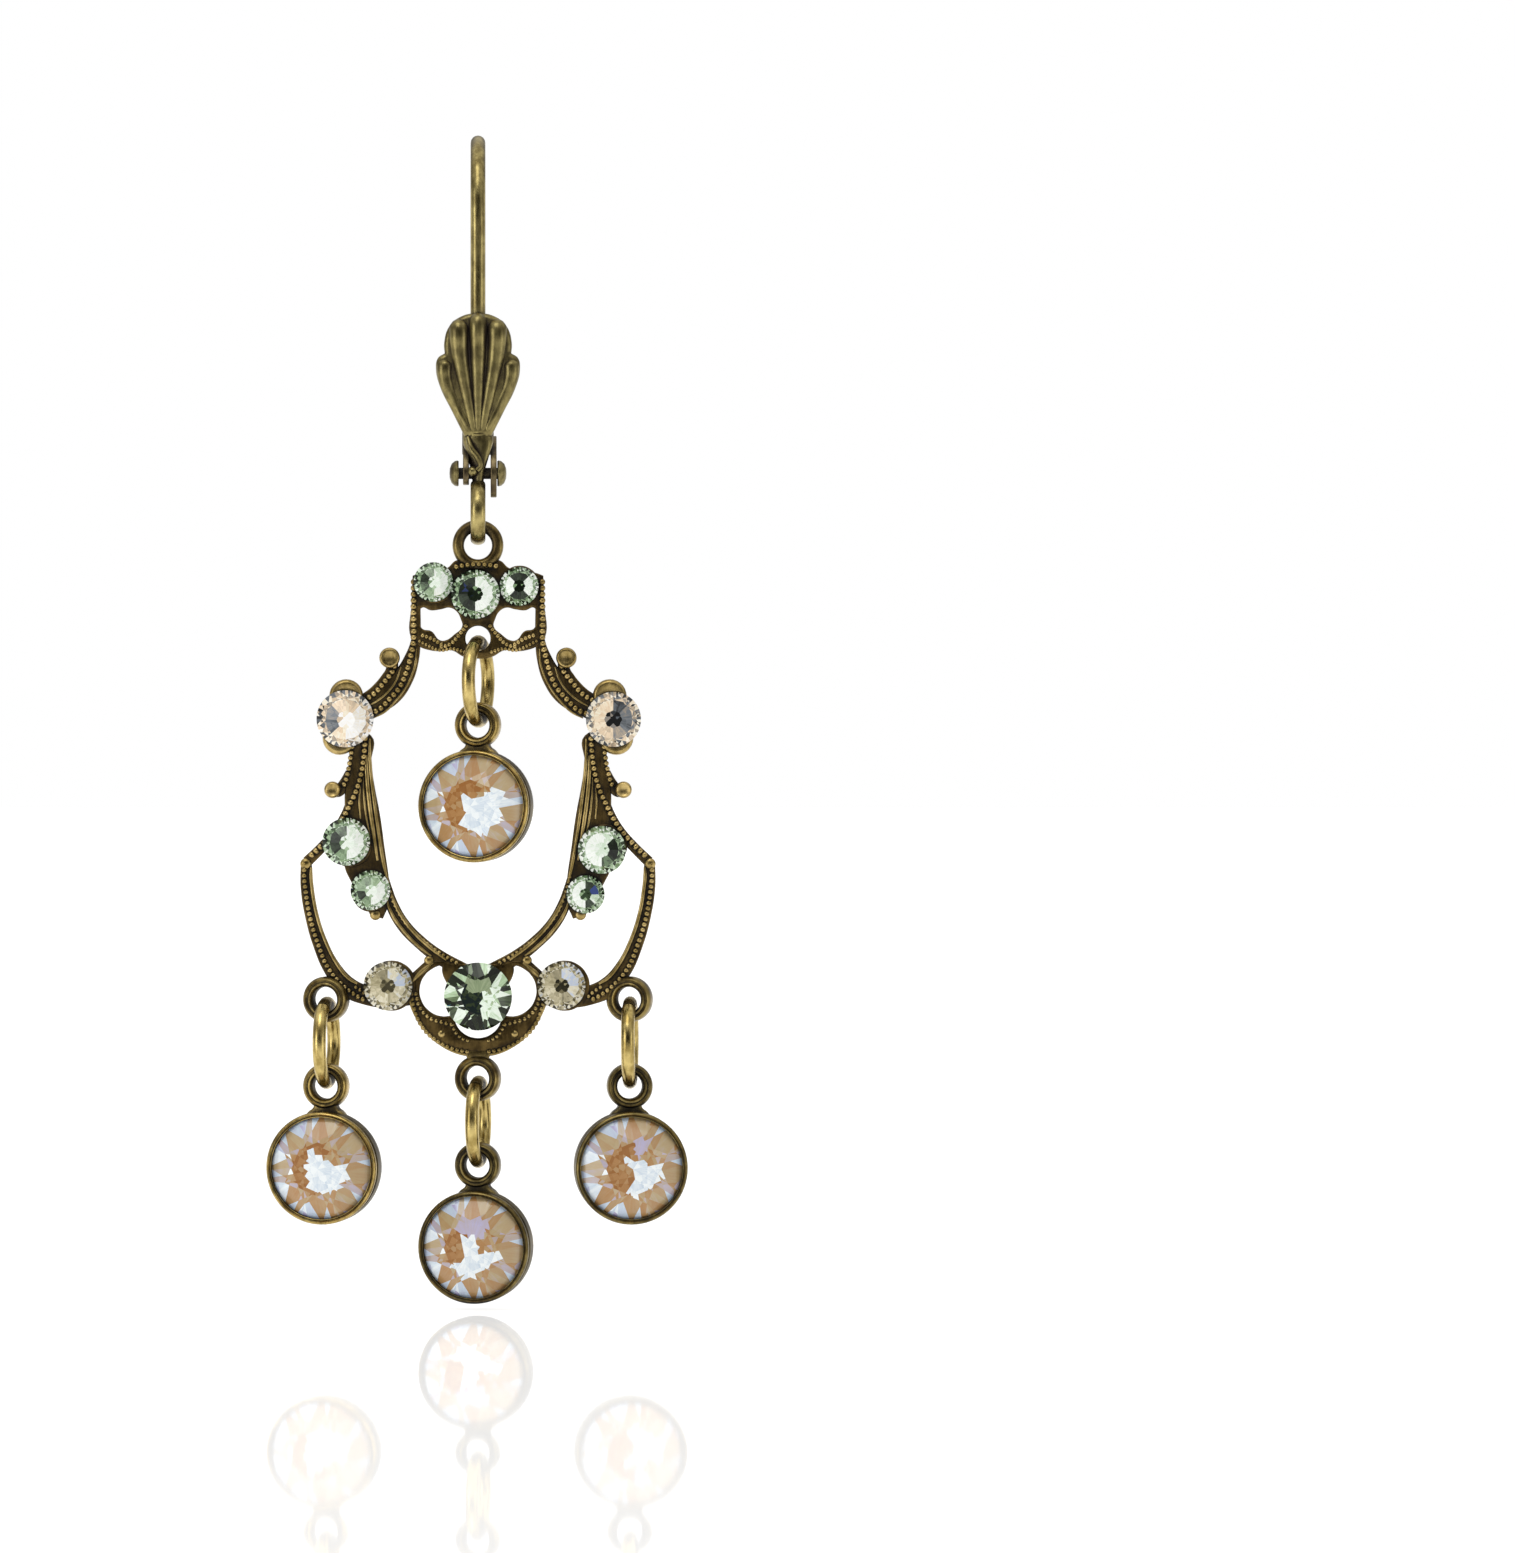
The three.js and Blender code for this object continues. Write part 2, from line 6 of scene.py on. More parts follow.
import bpy
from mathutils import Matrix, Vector


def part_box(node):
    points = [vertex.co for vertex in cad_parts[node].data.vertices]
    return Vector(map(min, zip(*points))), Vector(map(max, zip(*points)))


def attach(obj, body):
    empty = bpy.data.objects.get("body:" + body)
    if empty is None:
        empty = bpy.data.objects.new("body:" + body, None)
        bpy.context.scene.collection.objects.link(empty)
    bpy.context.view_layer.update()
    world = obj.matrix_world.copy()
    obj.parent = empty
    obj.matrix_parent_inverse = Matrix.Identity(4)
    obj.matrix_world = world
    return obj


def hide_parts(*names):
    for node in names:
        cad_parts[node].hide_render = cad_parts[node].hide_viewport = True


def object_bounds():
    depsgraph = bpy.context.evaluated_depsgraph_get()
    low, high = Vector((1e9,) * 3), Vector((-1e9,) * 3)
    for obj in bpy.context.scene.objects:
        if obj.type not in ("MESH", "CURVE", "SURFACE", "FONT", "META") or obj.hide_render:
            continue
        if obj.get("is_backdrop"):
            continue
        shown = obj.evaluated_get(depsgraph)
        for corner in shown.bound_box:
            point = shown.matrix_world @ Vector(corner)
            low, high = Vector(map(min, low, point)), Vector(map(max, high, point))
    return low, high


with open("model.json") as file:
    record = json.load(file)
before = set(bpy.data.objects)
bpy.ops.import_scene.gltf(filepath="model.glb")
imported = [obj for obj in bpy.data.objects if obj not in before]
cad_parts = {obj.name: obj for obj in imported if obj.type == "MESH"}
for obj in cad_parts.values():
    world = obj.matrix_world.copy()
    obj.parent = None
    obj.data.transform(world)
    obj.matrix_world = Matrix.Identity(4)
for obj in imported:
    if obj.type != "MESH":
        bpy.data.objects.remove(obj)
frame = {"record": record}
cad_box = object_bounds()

MM = 0.001


# ---------------------------------------------------------------------------------------------
# The studio: a white bench just under the lowest drop, a white room with a dim side where the
# camera stands, and softboxes to the left, right and above. The camera looks straight at the front.
# ---------------------------------------------------------------------------------------------
CAMERA_DISTANCE = 390 * MM
PICTURE_HEIGHT = 93.2 * MM  # what the camera's long side covers at the earring
SENSOR = 36.0
PICTURE_SIDES = (1515, 1553)
EARRING_CENTRE = (0.3155, 0.461)  # where the earring's middle stands in the picture, from top left


class Wire:
    """A socket of a node tree. Sums on wires add the Math nodes that work them out."""

    def __init__(self, tree, socket):
        self.tree = tree
        self.socket = socket

    def math(self, operation, first, second=0.0):
        node = self.tree.nodes.new("ShaderNodeMath")
        node.operation = operation
        for slot, value in zip(node.inputs, (first, second)):
            plug(self.tree, slot, value)
        return Wire(self.tree, node.outputs[0])

    def __add__(self, other):
        return self.math("ADD", self, other)

    def __sub__(self, other):
        return self.math("SUBTRACT", self, other)

    def __rsub__(self, other):
        return self.math("SUBTRACT", other, self)

    def __mul__(self, other):
        return self.math("MULTIPLY", self, other)

    def __abs__(self):
        return self.math("ABSOLUTE", self)

    __radd__ = __add__
    __rmul__ = __mul__

    def ramp(self, low, high):
        """0 up to low, 1 from high on, and smooth between them."""
        node = self.tree.nodes.new("ShaderNodeMapRange")
        node.interpolation_type = "SMOOTHSTEP"
        plug(self.tree, node.inputs["Value"], self)
        node.inputs["From Min"].default_value = low
        node.inputs["From Max"].default_value = high
        return Wire(self.tree, node.outputs[0])


def plug(tree, slot, value):
    if isinstance(value, Wire):
        tree.links.new(value.socket, slot)
    elif slot.type == "RGBA" and len(value) == 3:
        slot.default_value = (*value, 1.0)
    else:
        slot.default_value = value


class Finish:
    """The node tree of a material, or of the room."""

    def __init__(self, owner):
        self.owner = owner
        owner.use_nodes = True
        self.tree = owner.node_tree
        self.tree.nodes.clear()

    def node(self, kind, settings=None, inputs=None, output=0):
        made = self.tree.nodes.new(kind)
        for key, value in (settings or {}).items():
            if key == "stops":
                ramp = made.color_ramp
                while len(ramp.elements) > 1:
                    ramp.elements.remove(ramp.elements[-1])
                for index, (place, colour) in enumerate(value):
                    stop = ramp.elements[0] if index == 0 else ramp.elements.new(place)
                    stop.position = place
                    stop.color = (*colour, 1.0)
            else:
                setattr(made, key, value)
        for key, value in (inputs or {}).items():
            plug(self.tree, made.inputs[key], value)
        return Wire(self.tree, made.outputs[output]) if len(made.outputs) else None

    def mix(self, factor, first, second):
        made = self.tree.nodes.new("ShaderNodeMix")
        made.data_type = "RGBA"
        plug(self.tree, made.inputs[0], factor)
        plug(self.tree, made.inputs[6], first)
        plug(self.tree, made.inputs[7], second)
        return Wire(self.tree, made.outputs[2])

    def noise(self, size, detail=2.0, roughness=0.5, stretch=(1, 1, 1), distortion=0.0):
        """Noise whose blobs are about size metres across, on the piece's own coordinates."""
        place = self.node("ShaderNodeTexCoord", output="Object")
        scaled = self.node("ShaderNodeMapping", None, {"Vector": place, "Scale": stretch})
        inputs = {
            "Vector": scaled,
            "Scale": 1 / size,
            "Detail": detail,
            "Roughness": roughness,
            "Distortion": distortion,
        }
        return self.node("ShaderNodeTexNoise", None, inputs)

    def surface(self, **sockets):
        values = {name.replace("_", " "): value for name, value in sockets.items()}
        shader = self.node("ShaderNodeBsdfPrincipled", None, values)
        self.node("ShaderNodeOutputMaterial", None, {"Surface": shader})
        return self.owner


def deselect():
    bpy.ops.object.select_all(action="DESELECT")


def pick(piece):
    """Selects one piece alone, ready for the next step."""
    deselect()
    piece.select_set(True)
    bpy.context.view_layer.objects.active = piece


def colour(hexadecimal):
    """The linear value of a colour as it is seen on a screen."""
    channels = [int(hexadecimal[i : i + 2], 16) / 255 for i in (0, 2, 4)]
    return tuple(c / 12.92 if c < 0.04045 else ((c + 0.055) / 1.055) ** 2.4 for c in channels)


plane_y = frame["record"]["behaviour"]["joints"][1]["pos_m"][1]
middle_z = (cad_box[0][2] + cad_box[1][2]) / 2

bpy.ops.object.camera_add(
    location=(0, plane_y - CAMERA_DISTANCE, middle_z), rotation=(math.pi / 2, 0, 0)
)
camera = bpy.context.object
camera.name = "camera"
camera.data.sensor_width = SENSOR
camera.data.lens = SENSOR * CAMERA_DISTANCE / PICTURE_HEIGHT
camera.data.shift_x = (0.5 - EARRING_CENTRE[0]) * PICTURE_SIDES[0] / PICTURE_SIDES[1]
camera.data.shift_y = EARRING_CENTRE[1] - 0.5
camera.data.clip_start = 0.01
bpy.context.scene.camera = camera
bpy.context.scene.view_settings.view_transform = "Standard"

deselect()
bpy.ops.mesh.primitive_plane_add(size=3.0, location=(0, 0.6, cad_box[0][2] - 0.4 * MM))
bench = bpy.context.object
bench.name = "bench"
gloss = Finish(bpy.data.materials.new("white_bench"))
haze = gloss.noise(0.05, 3.0)
bench.data.materials.append(
    gloss.surface(
        Base_Color=gloss.mix(haze, (0.93, 0.93, 0.93), (0.95, 0.95, 0.95)),
        Roughness=0.025 + 0.02 * haze,
        Specular_IOR_Level=0.32,
        Emission_Color=(1.0, 1.0, 1.0),
        Emission_Strength=0.38,
    )
)
bench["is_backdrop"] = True

room = Finish(bpy.data.worlds.new("room"))
bpy.context.scene.world = room.owner
way = room.node("ShaderNodeTexCoord", output="Generated")
split = room.node("ShaderNodeSeparateXYZ", None, {"Vector": way})
across, away, up = (Wire(room.tree, s) for s in split.socket.node.outputs)
camera_side = (0 - away).ramp(0.72, 0.97)
ceiling = up.ramp(0.25, 0.85)
sides = abs(across).ramp(0.45, 0.9)
behind = away.ramp(0.2, 0.9)
horizon = (1 - abs(up).ramp(0.12, 0.2)) * away.ramp(-0.1, 0.4)
room_light = 0.2 + 0.75 * ceiling + 0.14 * sides + 0.1 * behind
glow = room_light * (1 - 0.93 * camera_side) + 0.6 * horizon
seen = room.node("ShaderNodeLightPath", output="Is Camera Ray")
light = room.node("ShaderNodeBackground", None, {"Color": (1.0, 0.99, 0.97), "Strength": glow})
white = room.node("ShaderNodeBackground", None, {"Color": (1.0, 1.0, 1.0), "Strength": 1.0})
both = room.node("ShaderNodeMixShader", None, {0: seen, 1: light, 2: white})
room.node("ShaderNodeOutputWorld", None, {"Surface": both})

SOFTBOXES = {
    "left": {"place": (-260, -190, 40), "size": 150, "power": 0.17},
    "right": {"place": (300, -150, 0), "size": 140, "power": 0.09},
    "top": {"place": (-40, -160, 260), "size": 170, "power": 0.22},
}
for name, box in SOFTBOXES.items():
    place = Vector(box["place"]) * MM + Vector((0, 0, middle_z))
    facing = (Vector((0, plane_y, middle_z)) - place).to_track_quat("-Z", "Y").to_euler()
    bpy.ops.object.light_add(type="AREA", location=place, rotation=facing)
    softbox = bpy.context.object
    softbox.name = f"softbox_{name}"
    softbox.data.size = box["size"] * MM
    softbox.data.energy = box["power"]


# ---------------------------------------------------------------------------------------------
# The ear wire: one round wire bent over the lobe, with its front leg soldered behind a small cast
# shell. Under the shell a flat strip is twisted half round, with a curl of wire at the twist, and
# ends in a flat-sided eye. It is yellow brass, darkened and rubbed back on the high places.
# ---------------------------------------------------------------------------------------------
WIRE_RADIUS = 0.45 * MM
HOOP_RADIUS = 4.2 * MM
HOOP_TIP = (0, 3.95 * MM, -12.3 * MM)


def line(name, points, closed=False, flat=False):
    """A curve through points. A fourth value is its thickness there, and a fifth makes a corner."""
    deselect()
    bpy.ops.curve.primitive_bezier_curve_add()
    curve = bpy.context.object
    curve.name = name
    curve.location = (0, 0, 0)
    spline = curve.data.splines[0]
    spline.bezier_points.add(len(points) - 2)
    for knot, (x, y, z, *more) in zip(spline.bezier_points, points):
        knot.co = (x, y, z)
        knot.radius = more[0] if more else 1.0
        kind = "VECTOR" if len(more) > 1 else "AUTO"
        knot.handle_left_type = knot.handle_right_type = kind
    spline.use_cyclic_u = closed
    curve.data.dimensions = "2D" if flat else "3D"
    return curve


def made_solid(curve, name):
    """Turns a curve into a mesh with clean outward faces."""
    pick(curve)
    bpy.ops.object.convert(target="MESH")
    piece = bpy.context.object
    piece.name = name
    tidy(piece)
    return piece


def tidy(piece, gap=1e-7):
    pick(piece)
    bpy.ops.object.mode_set(mode="EDIT")
    bpy.ops.mesh.select_all(action="SELECT")
    bpy.ops.mesh.remove_doubles(threshold=gap)
    bpy.ops.mesh.normals_make_consistent(inside=False)
    bpy.ops.object.mode_set(mode="OBJECT")


def rod(name, points, radius, steps=6, around=4):
    """Round wire along a route, with closed ends."""
    curve = line(name, points)
    curve.data.resolution_u = steps
    curve.data.bevel_depth = radius
    curve.data.bevel_resolution = around
    curve.data.use_fill_caps = True
    return made_solid(curve, name)


def smooth(piece, angle):
    pick(piece)
    bpy.ops.object.shade_smooth_by_angle(angle=math.radians(angle))
    return piece


def joined(name, pieces):
    deselect()
    for piece in pieces:
        piece.select_set(True)
    bpy.context.view_layer.objects.active = pieces[0]
    bpy.ops.object.join()
    pieces[0].name = name
    return pieces[0]


def placed(piece):
    """Moves a piece's place, turn and size into its mesh."""
    pick(piece)
    bpy.ops.object.transform_apply(location=True, rotation=True, scale=True)
    return piece


def ball(name, place, size, squash=(1, 1, 1)):
    deselect()
    bpy.ops.mesh.primitive_uv_sphere_add(
        segments=20, ring_count=10, radius=size, location=place, scale=squash
    )
    piece = placed(bpy.context.object)
    piece.name = name
    return piece


def turned(name, profile, steps=48):
    """A round piece about the Y axis, from a profile of (radius, place along Y) in millimetres."""
    rim = [(r * MM, y * MM, 0, 1, "corner") for r, y in profile]
    closed = profile[0][0] > 0 and profile[-1][0] > 0
    curve = line(name, rim, closed=closed)
    curve.data.resolution_u = 1
    pick(curve)
    bpy.ops.object.convert(target="MESH")
    piece = bpy.context.object
    bpy.ops.object.mode_set(mode="EDIT")
    bpy.ops.mesh.select_all(action="SELECT")
    bpy.ops.mesh.spin(steps=steps, angle=2 * math.pi, center=(0, 0, 0), axis=(0, 1, 0))
    bpy.ops.object.mode_set(mode="OBJECT")
    tidy(piece, 1e-6)
    return piece


def moved(piece, place=(0, 0, 0), turn=(0, 0, 0)):
    """Turns a piece about the origin by degrees about X, Y and Z, then moves it to its place."""
    piece.rotation_euler = [math.radians(angle) for angle in turn]
    piece.location = place
    return placed(piece)


def old_brass(name, bright, middle, dark, crevice, rough, wear=1.0):
    """Brass with black patina in the hollows, rubbed bright on what stands out."""
    finish = Finish(bpy.data.materials.new(name))
    blotches = finish.noise(0.9 * MM, 4.0, 0.6)
    grain = finish.noise(0.07 * MM, 3.0, 0.6)
    scratches = finish.noise(0.25 * MM, 3.0, 0.7, stretch=(1, 1, 0.15), distortion=0.4)
    reach = {"samples": 8}
    open_air = finish.node(
        "ShaderNodeAmbientOcclusion", reach, {"Distance": crevice * MM}, output="AO"
    )
    rubbed = (open_air + (blotches - 0.5) * 0.45 * wear + (grain - 0.5) * 0.25).ramp(0.5, 0.95)
    worn = (blotches + (scratches - 0.5) * 0.5).ramp(0.3, 0.72)
    warm = finish.mix(worn, colour(middle), colour(bright))
    relief = finish.node(
        "ShaderNodeBump",
        None,
        {"Strength": 0.35, "Distance": 0.02 * MM, "Height": grain * 0.5 + scratches * 0.5},
    )
    return finish.surface(
        Base_Color=finish.mix(rubbed, colour(dark), warm),
        Metallic=0.45 + 0.55 * rubbed,
        Roughness=rough + 0.28 * (1 - rubbed) + 0.22 * (scratches - 0.5),
        Normal=relief,
    )


def dress(piece, body, material, slot, *nodes):
    """Gives a piece its finish, hangs it on the body that carries it, and hides the solids it
    stands for.
    """
    piece.data.materials.clear()
    piece.data.materials.append(material)
    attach(piece, body)
    if nodes:
        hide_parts(*nodes)
    return piece


wire_brass = old_brass("wire_brass", "b5a56c", "7a6c42", "20180f", crevice=0.6, rough=0.28)

hoop = [(0, -HOOP_RADIUS, z * MM) for z in (-12.6, -11.0, -8.5, -6.0)]
for step in range(9):
    angle = math.pi - step * math.pi / 8
    hoop.append((0, HOOP_RADIUS * math.cos(angle), HOOP_RADIUS * (math.sin(angle) - 1)))
hoop += [(0, 4.17 * MM, -7.0 * MM), (0, 4.1 * MM, -9.8 * MM), HOOP_TIP]
wire = rod("hoop", hoop, WIRE_RADIUS, steps=5, around=6)
tip = ball("tip", HOOP_TIP, WIRE_RADIUS, (1, 1, 0.7))

# The shell's flat ground, whose face shows black in the grooves between the flutes.
SHELL_EDGE = (
    (0.0, -10.62), (0.95, -10.78), (1.72, -11.4), (2.03, -12.4), (2.0, -13.02, "corner"),
    (2.4, -13.3), (2.52, -13.95), (2.28, -15.0), (1.55, -16.5), (0.8, -18.0, "corner"),
)
# Each flute is a long drop of metal, fat at the shell's scalloped rim and thin at its foot.
# Rows are: place of the top across, its height, its thickness and how far it stands out.
FLUTE_TOPS = (
    (0.0, -11.12, 0.56, 0.1),
    (-1.14, -11.5, 0.6, 0.06),
    (1.14, -11.5, 0.6, 0.06),
    (-1.98, -13.72, 0.5, -0.08),
    (1.98, -13.72, 0.5, -0.08),
)
FLUTE_PLACE = -4.95
FLUTE_FOOT = -18.0


def plate(name, outline, thickness, edge, holes=(), steps=6):
    """A flat piece in the X-Z plane with softened edges. Outline and holes are in millimetres."""
    knots = [(x * MM, z * MM, 0, 1, *corner) for x, z, *corner in outline]
    curve = line(name, knots, closed=True, flat=True)
    for hole in holes:
        spline = curve.data.splines.new("BEZIER")
        spline.bezier_points.add(len(hole) - 1)
        for knot, (x, z, *corner) in zip(spline.bezier_points, hole):
            knot.co = (x * MM, z * MM, 0)
            knot.handle_left_type = knot.handle_right_type = "VECTOR" if corner else "AUTO"
        spline.use_cyclic_u = True
    curve.data.resolution_u = steps
    curve.data.fill_mode = "BOTH"
    curve.data.extrude = (thickness / 2 - edge) * MM
    curve.data.bevel_depth = edge * MM
    curve.data.bevel_resolution = 2
    curve.data.offset = -edge * MM
    return moved(made_solid(curve, name), turn=(90, 0, 0))


shell_edge = list(SHELL_EDGE) + [(-x, *rest) for x, *rest in reversed(SHELL_EDGE[1:])]
SHELL_THICKNESS = 0.95
SHELL_PLACE = -4.68  # the ground's middle plane, along Y
shell_ground = plate("shell", shell_edge, SHELL_THICKNESS, 0.3)
shell_parts = [moved(shell_ground, (0, SHELL_PLACE * MM, 0))]
for index, (x, z, reach, proud) in enumerate(FLUTE_TOPS):
    front = FLUTE_PLACE - proud
    depth = z - FLUTE_FOOT
    route = [
        (x * 0.96 * MM, -4.75 * MM, (z + reach * 0.55) * MM, reach * 0.55),
        (x * MM, front * MM, z * MM, reach),
        (x * 0.97 * MM, (front - 0.02) * MM, (z - depth * 0.22) * MM, reach * 0.92),
        (x * 0.66 * MM, front * MM, (z - depth * 0.55) * MM, reach * 0.68),
        (x * 0.34 * MM, -4.98 * MM, (z - depth * 0.85) * MM, reach * 0.48),
        (x * 0.22 * MM, -4.9 * MM, (-18.1 + abs(x) * 0.1) * MM, 0.2),
    ]
    shell_parts.append(rod(f"flute_{index}", route, 1.0 * MM, steps=8, around=6))

# The strip under the shell: flat to the front at its top, then twisted edge-on above the eye.
bpy.ops.curve.primitive_bezier_circle_add(radius=0.5 * MM)
oval = bpy.context.object
oval.scale = (1.0, 0.62, 1)
STRIP = (
    (-17.6, 1.8, 0), (-18.3, 1.85, 12), (-19.2, 1.5, 38), (-20.2, 1.15, 72), (-21.4, 0.95, 90),
)
strip_route = [(0, -4.55 * MM, z * MM, width) for z, width, turn in STRIP]
strip_curve = line("strip", strip_route)
for knot, (z, width, turn) in zip(strip_curve.data.splines[0].bezier_points, STRIP):
    knot.tilt = math.radians(turn)
strip_curve.data.resolution_u = 8
strip_curve.data.bevel_mode = "OBJECT"
strip_curve.data.bevel_object = oval
strip_curve.data.use_fill_caps = True
strip = made_solid(strip_curve, "strip")
bpy.data.objects.remove(oval)
collar = ball("collar", (0, -4.62 * MM, -17.85 * MM), 0.78 * MM, (0.98, 0.72, 0.42))

curl = rod(
    "curl",
    [
        (-0.62 * MM, -5.0 * MM, -18.05 * MM, 0.6),
        (-0.42 * MM, -5.22 * MM, -18.7 * MM, 0.9),
        (0.02 * MM, -5.26 * MM, -19.35 * MM, 0.95),
        (0.16 * MM, -5.2 * MM, -19.8 * MM, 0.9),
        (-0.05 * MM, -5.2 * MM, -20.05 * MM, 0.8),
    ],
    0.2 * MM,
    around=3,
)
curl_ball = ball("curl_ball", (-0.34 * MM, -5.12 * MM, -20.1 * MM), 0.3 * MM)

EYE_RADIUS = 1.65 * MM
EYE_CENTRE = (0, plane_y, -22.52 * MM)
deselect()
bpy.ops.mesh.primitive_torus_add(
    major_radius=EYE_RADIUS,
    minor_radius=0.33 * MM,
    major_segments=56,
    minor_segments=16,
    rotation=(0, math.pi / 2, 0),
)
eye = bpy.context.object
placed(eye)
eye.scale = (1.36, 1, 1)
placed(eye)
moved(eye, EYE_CENTRE)

shell_brass = old_brass("shell_brass", "8f8355", "655b3b", "2a2018", crevice=0.55, rough=0.32)
round_wire = joined("ear_wire_metal", [wire, tip, eye])
dress(smooth(round_wire, 50), "wire", wire_brass, "wire_brass", "ear_wire")
front = joined("shell_metal", [*shell_parts, strip, collar, curl, curl_ball])
dress(smooth(front, 50), "wire", shell_brass, "wire_brass")


# ---------------------------------------------------------------------------------------------
# The rivet: a plain brass pin through the strip and the lever's two ears, with each end hammered
# over into a low dome.
# ---------------------------------------------------------------------------------------------
RIVET_Z = -20.2 * MM
SHAFT_RADIUS = 0.34
HEAD_INNER = 1.16
HEAD_PROFILE = (
    (0.0, 1.71), (0.3, 1.69), (0.58, 1.58), (0.74, 1.4), (0.78, 1.24), (0.74, HEAD_INNER),
)

half = [(r, -y) for r, y in HEAD_PROFILE] + [(SHAFT_RADIUS, -HEAD_INNER)]
rivet = turned("rivet_metal", half + [(r, -y) for r, y in reversed(half)], 32)
moved(rivet, (0, plane_y, RIVET_Z), (0, 0, 90))
rivet_brass = old_brass("rivet_brass", "8d8257", "554b30", "1a140c", crevice=0.5, rough=0.36)
dress(smooth(rivet, 35), "wire", rivet_brass, "wire_brass", "hinge_rivet")


# ---------------------------------------------------------------------------------------------
# The lever: pressed from brass strip. Two ears sit on the rivet, the left one shorter and closer in
# than the right. The bowed arm rises from them behind the lobe, and two low cheeks at its top catch
# the wire's tip.
# ---------------------------------------------------------------------------------------------
# The arm's middle line and one ear's outline, both as places along Y and Z in millimetres.
ARM_ROUTE = (
    (-2.98, -18.95), (-2.6, -17.95), (-1.0, -16.5), (1.4, -15.4), (3.7, -14.3), (4.75, -12.7),
    (4.95, -11.05),
)
EAR_EDGE = (
    (-4.95, -21.2), (-4.6, -21.6), (-4.2, -21.6), (-3.75, -21.1), (-3.1, -20.0), (-2.72, -19.2),
    (-2.5, -18.1), (-3.1, -17.9), (-4.1, -18.6), (-5.1, -19.6), (-5.25, -20.4),
)
CHEEK_EDGE = ((3.95, -12.3), (4.9, -12.5), (5.05, -11.1), (4.3, -10.95))
ARM_THICKNESS = 0.42
ARM_WIDTH = 1.9
EAR_THICKNESS = 0.36
SHORT_EAR_FOOT = -20.85
CHEEK_THICKNESS = 0.28
CHEEK_PLACE = 0.81


def band_edge(route):
    """The outline of a band along a route. Each row is across, up and width."""
    left, right = [], []
    for index, (x, z, width) in enumerate(route):
        before, after = route[max(index - 1, 0)], route[min(index + 1, len(route) - 1)]
        along = Vector((after[0] - before[0], after[1] - before[1])).normalized()
        corner = ("corner",) if index in (0, len(route) - 1) else ()
        left.append((x - along.y * width / 2, z + along.x * width / 2, *corner))
        right.append((x + along.y * width / 2, z - along.x * width / 2, *corner))
    return left + right[::-1]


def across(piece, x):
    """Turns a plate made in the X-Z plane to stand in the Y-Z plane at some X."""
    moved(piece, turn=(0, 0, 90))
    return moved(piece, (x * MM, 0, 0))


arm_edge = band_edge([(y, z, ARM_THICKNESS) for y, z in ARM_ROUTE])
arm = plate("arm", arm_edge, ARM_WIDTH, 0.06, steps=8)
lever_parts = [across(arm, 0)]
short_ear_edge = [(y, max(z, SHORT_EAR_FOOT)) for y, z in EAR_EDGE]
for side, ear_edge, place in ((1, EAR_EDGE, 0.94), (-1, short_ear_edge, -0.72)):
    ear = plate("ear", ear_edge, EAR_THICKNESS, 0.06, steps=3)
    lever_parts.append(across(ear, place))
    cheek = plate("cheek", CHEEK_EDGE, CHEEK_THICKNESS, 0.05, steps=3)
    lever_parts.append(across(cheek, side * CHEEK_PLACE))
pressed = joined("lever_metal", lever_parts)
lever_brass = old_brass("lever_brass", "7d7050", "544836", "19130c", crevice=0.7, rough=0.36)
dress(smooth(pressed, 35), "lever", lever_brass, "wire_brass", "lever")


# ---------------------------------------------------------------------------------------------
# The frame: one brass casting, blackened and rubbed back. Flat grounds carry everything. On them
# stand rows of small beads, smooth ridges, ball ends and dished buttons. Only its right half is
# laid out, and the left half mirrors it.
# ---------------------------------------------------------------------------------------------
RING_OUTER = 1.53
ring_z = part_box("frame")[1].z - RING_OUTER * MM
GROUND = 0.62  # thickness of the flat grounds
GROUND_EDGE = 0.1
FACE = GROUND / 2  # how far the grounds' face stands in front of the frame's middle plane

TOP_PLATE_EDGE = (
    (0.0, -1.0), (1.3, -0.9), (1.85, -1.35), (3.5, -1.66), (3.92, -1.82, "corner"),
    (4.0, -3.6), (4.0, -5.6), (3.55, -6.05), (2.87, -6.3), (2.2, -6.36), (1.6, -6.3),
    (0.84, -6.69), (0.0, -6.8),
)
TOP_WINDOW = (
    (3.38, -3.75), (2.83, -3.9), (2.23, -3.84), (1.69, -3.74), (1.27, -3.98), (1.04, -4.41),
    (0.95, -4.86), (1.41, -5.34), (1.96, -5.7), (2.3, -5.68), (2.79, -5.15), (3.36, -4.98),
    (3.5, -4.35),
)
EYELET = (0.0, -5.58, 0.75)
SHOULDER = (
    (3.7, -3.4, 0.5), (3.72, -5.6, 0.56), (3.98, -6.8, 0.9), (4.5, -7.95, 1.25),
    (5.3, -8.95, 1.4), (6.3, -9.6, 1.25), (7.4, -10.2, 1.1),
)
LEAF_EDGE = (
    (7.75, -11.4), (7.72, -12.4), (7.8, -13.5), (7.98, -14.7), (8.0, -16.0), (8.1, -17.6),
    (8.0, -19.3), (7.6, -20.2), (6.9, -21.4), (6.45, -22.2, "corner"), (5.7, -22.4, "corner"),
    (5.25, -21.2), (5.34, -20.0), (5.59, -18.24), (5.86, -16.26), (6.19, -14.52),
    (6.4, -13.08), (6.42, -11.4),
)
LOWER_RAIL = (
    (5.62, -19.9, 0.5), (5.48, -20.6, 0.66), (5.15, -21.6, 0.76), (4.5, -22.75, 0.8),
    (3.5, -23.8, 0.8), (2.4, -24.65, 0.84), (0.9, -25.5, 0.9),
)
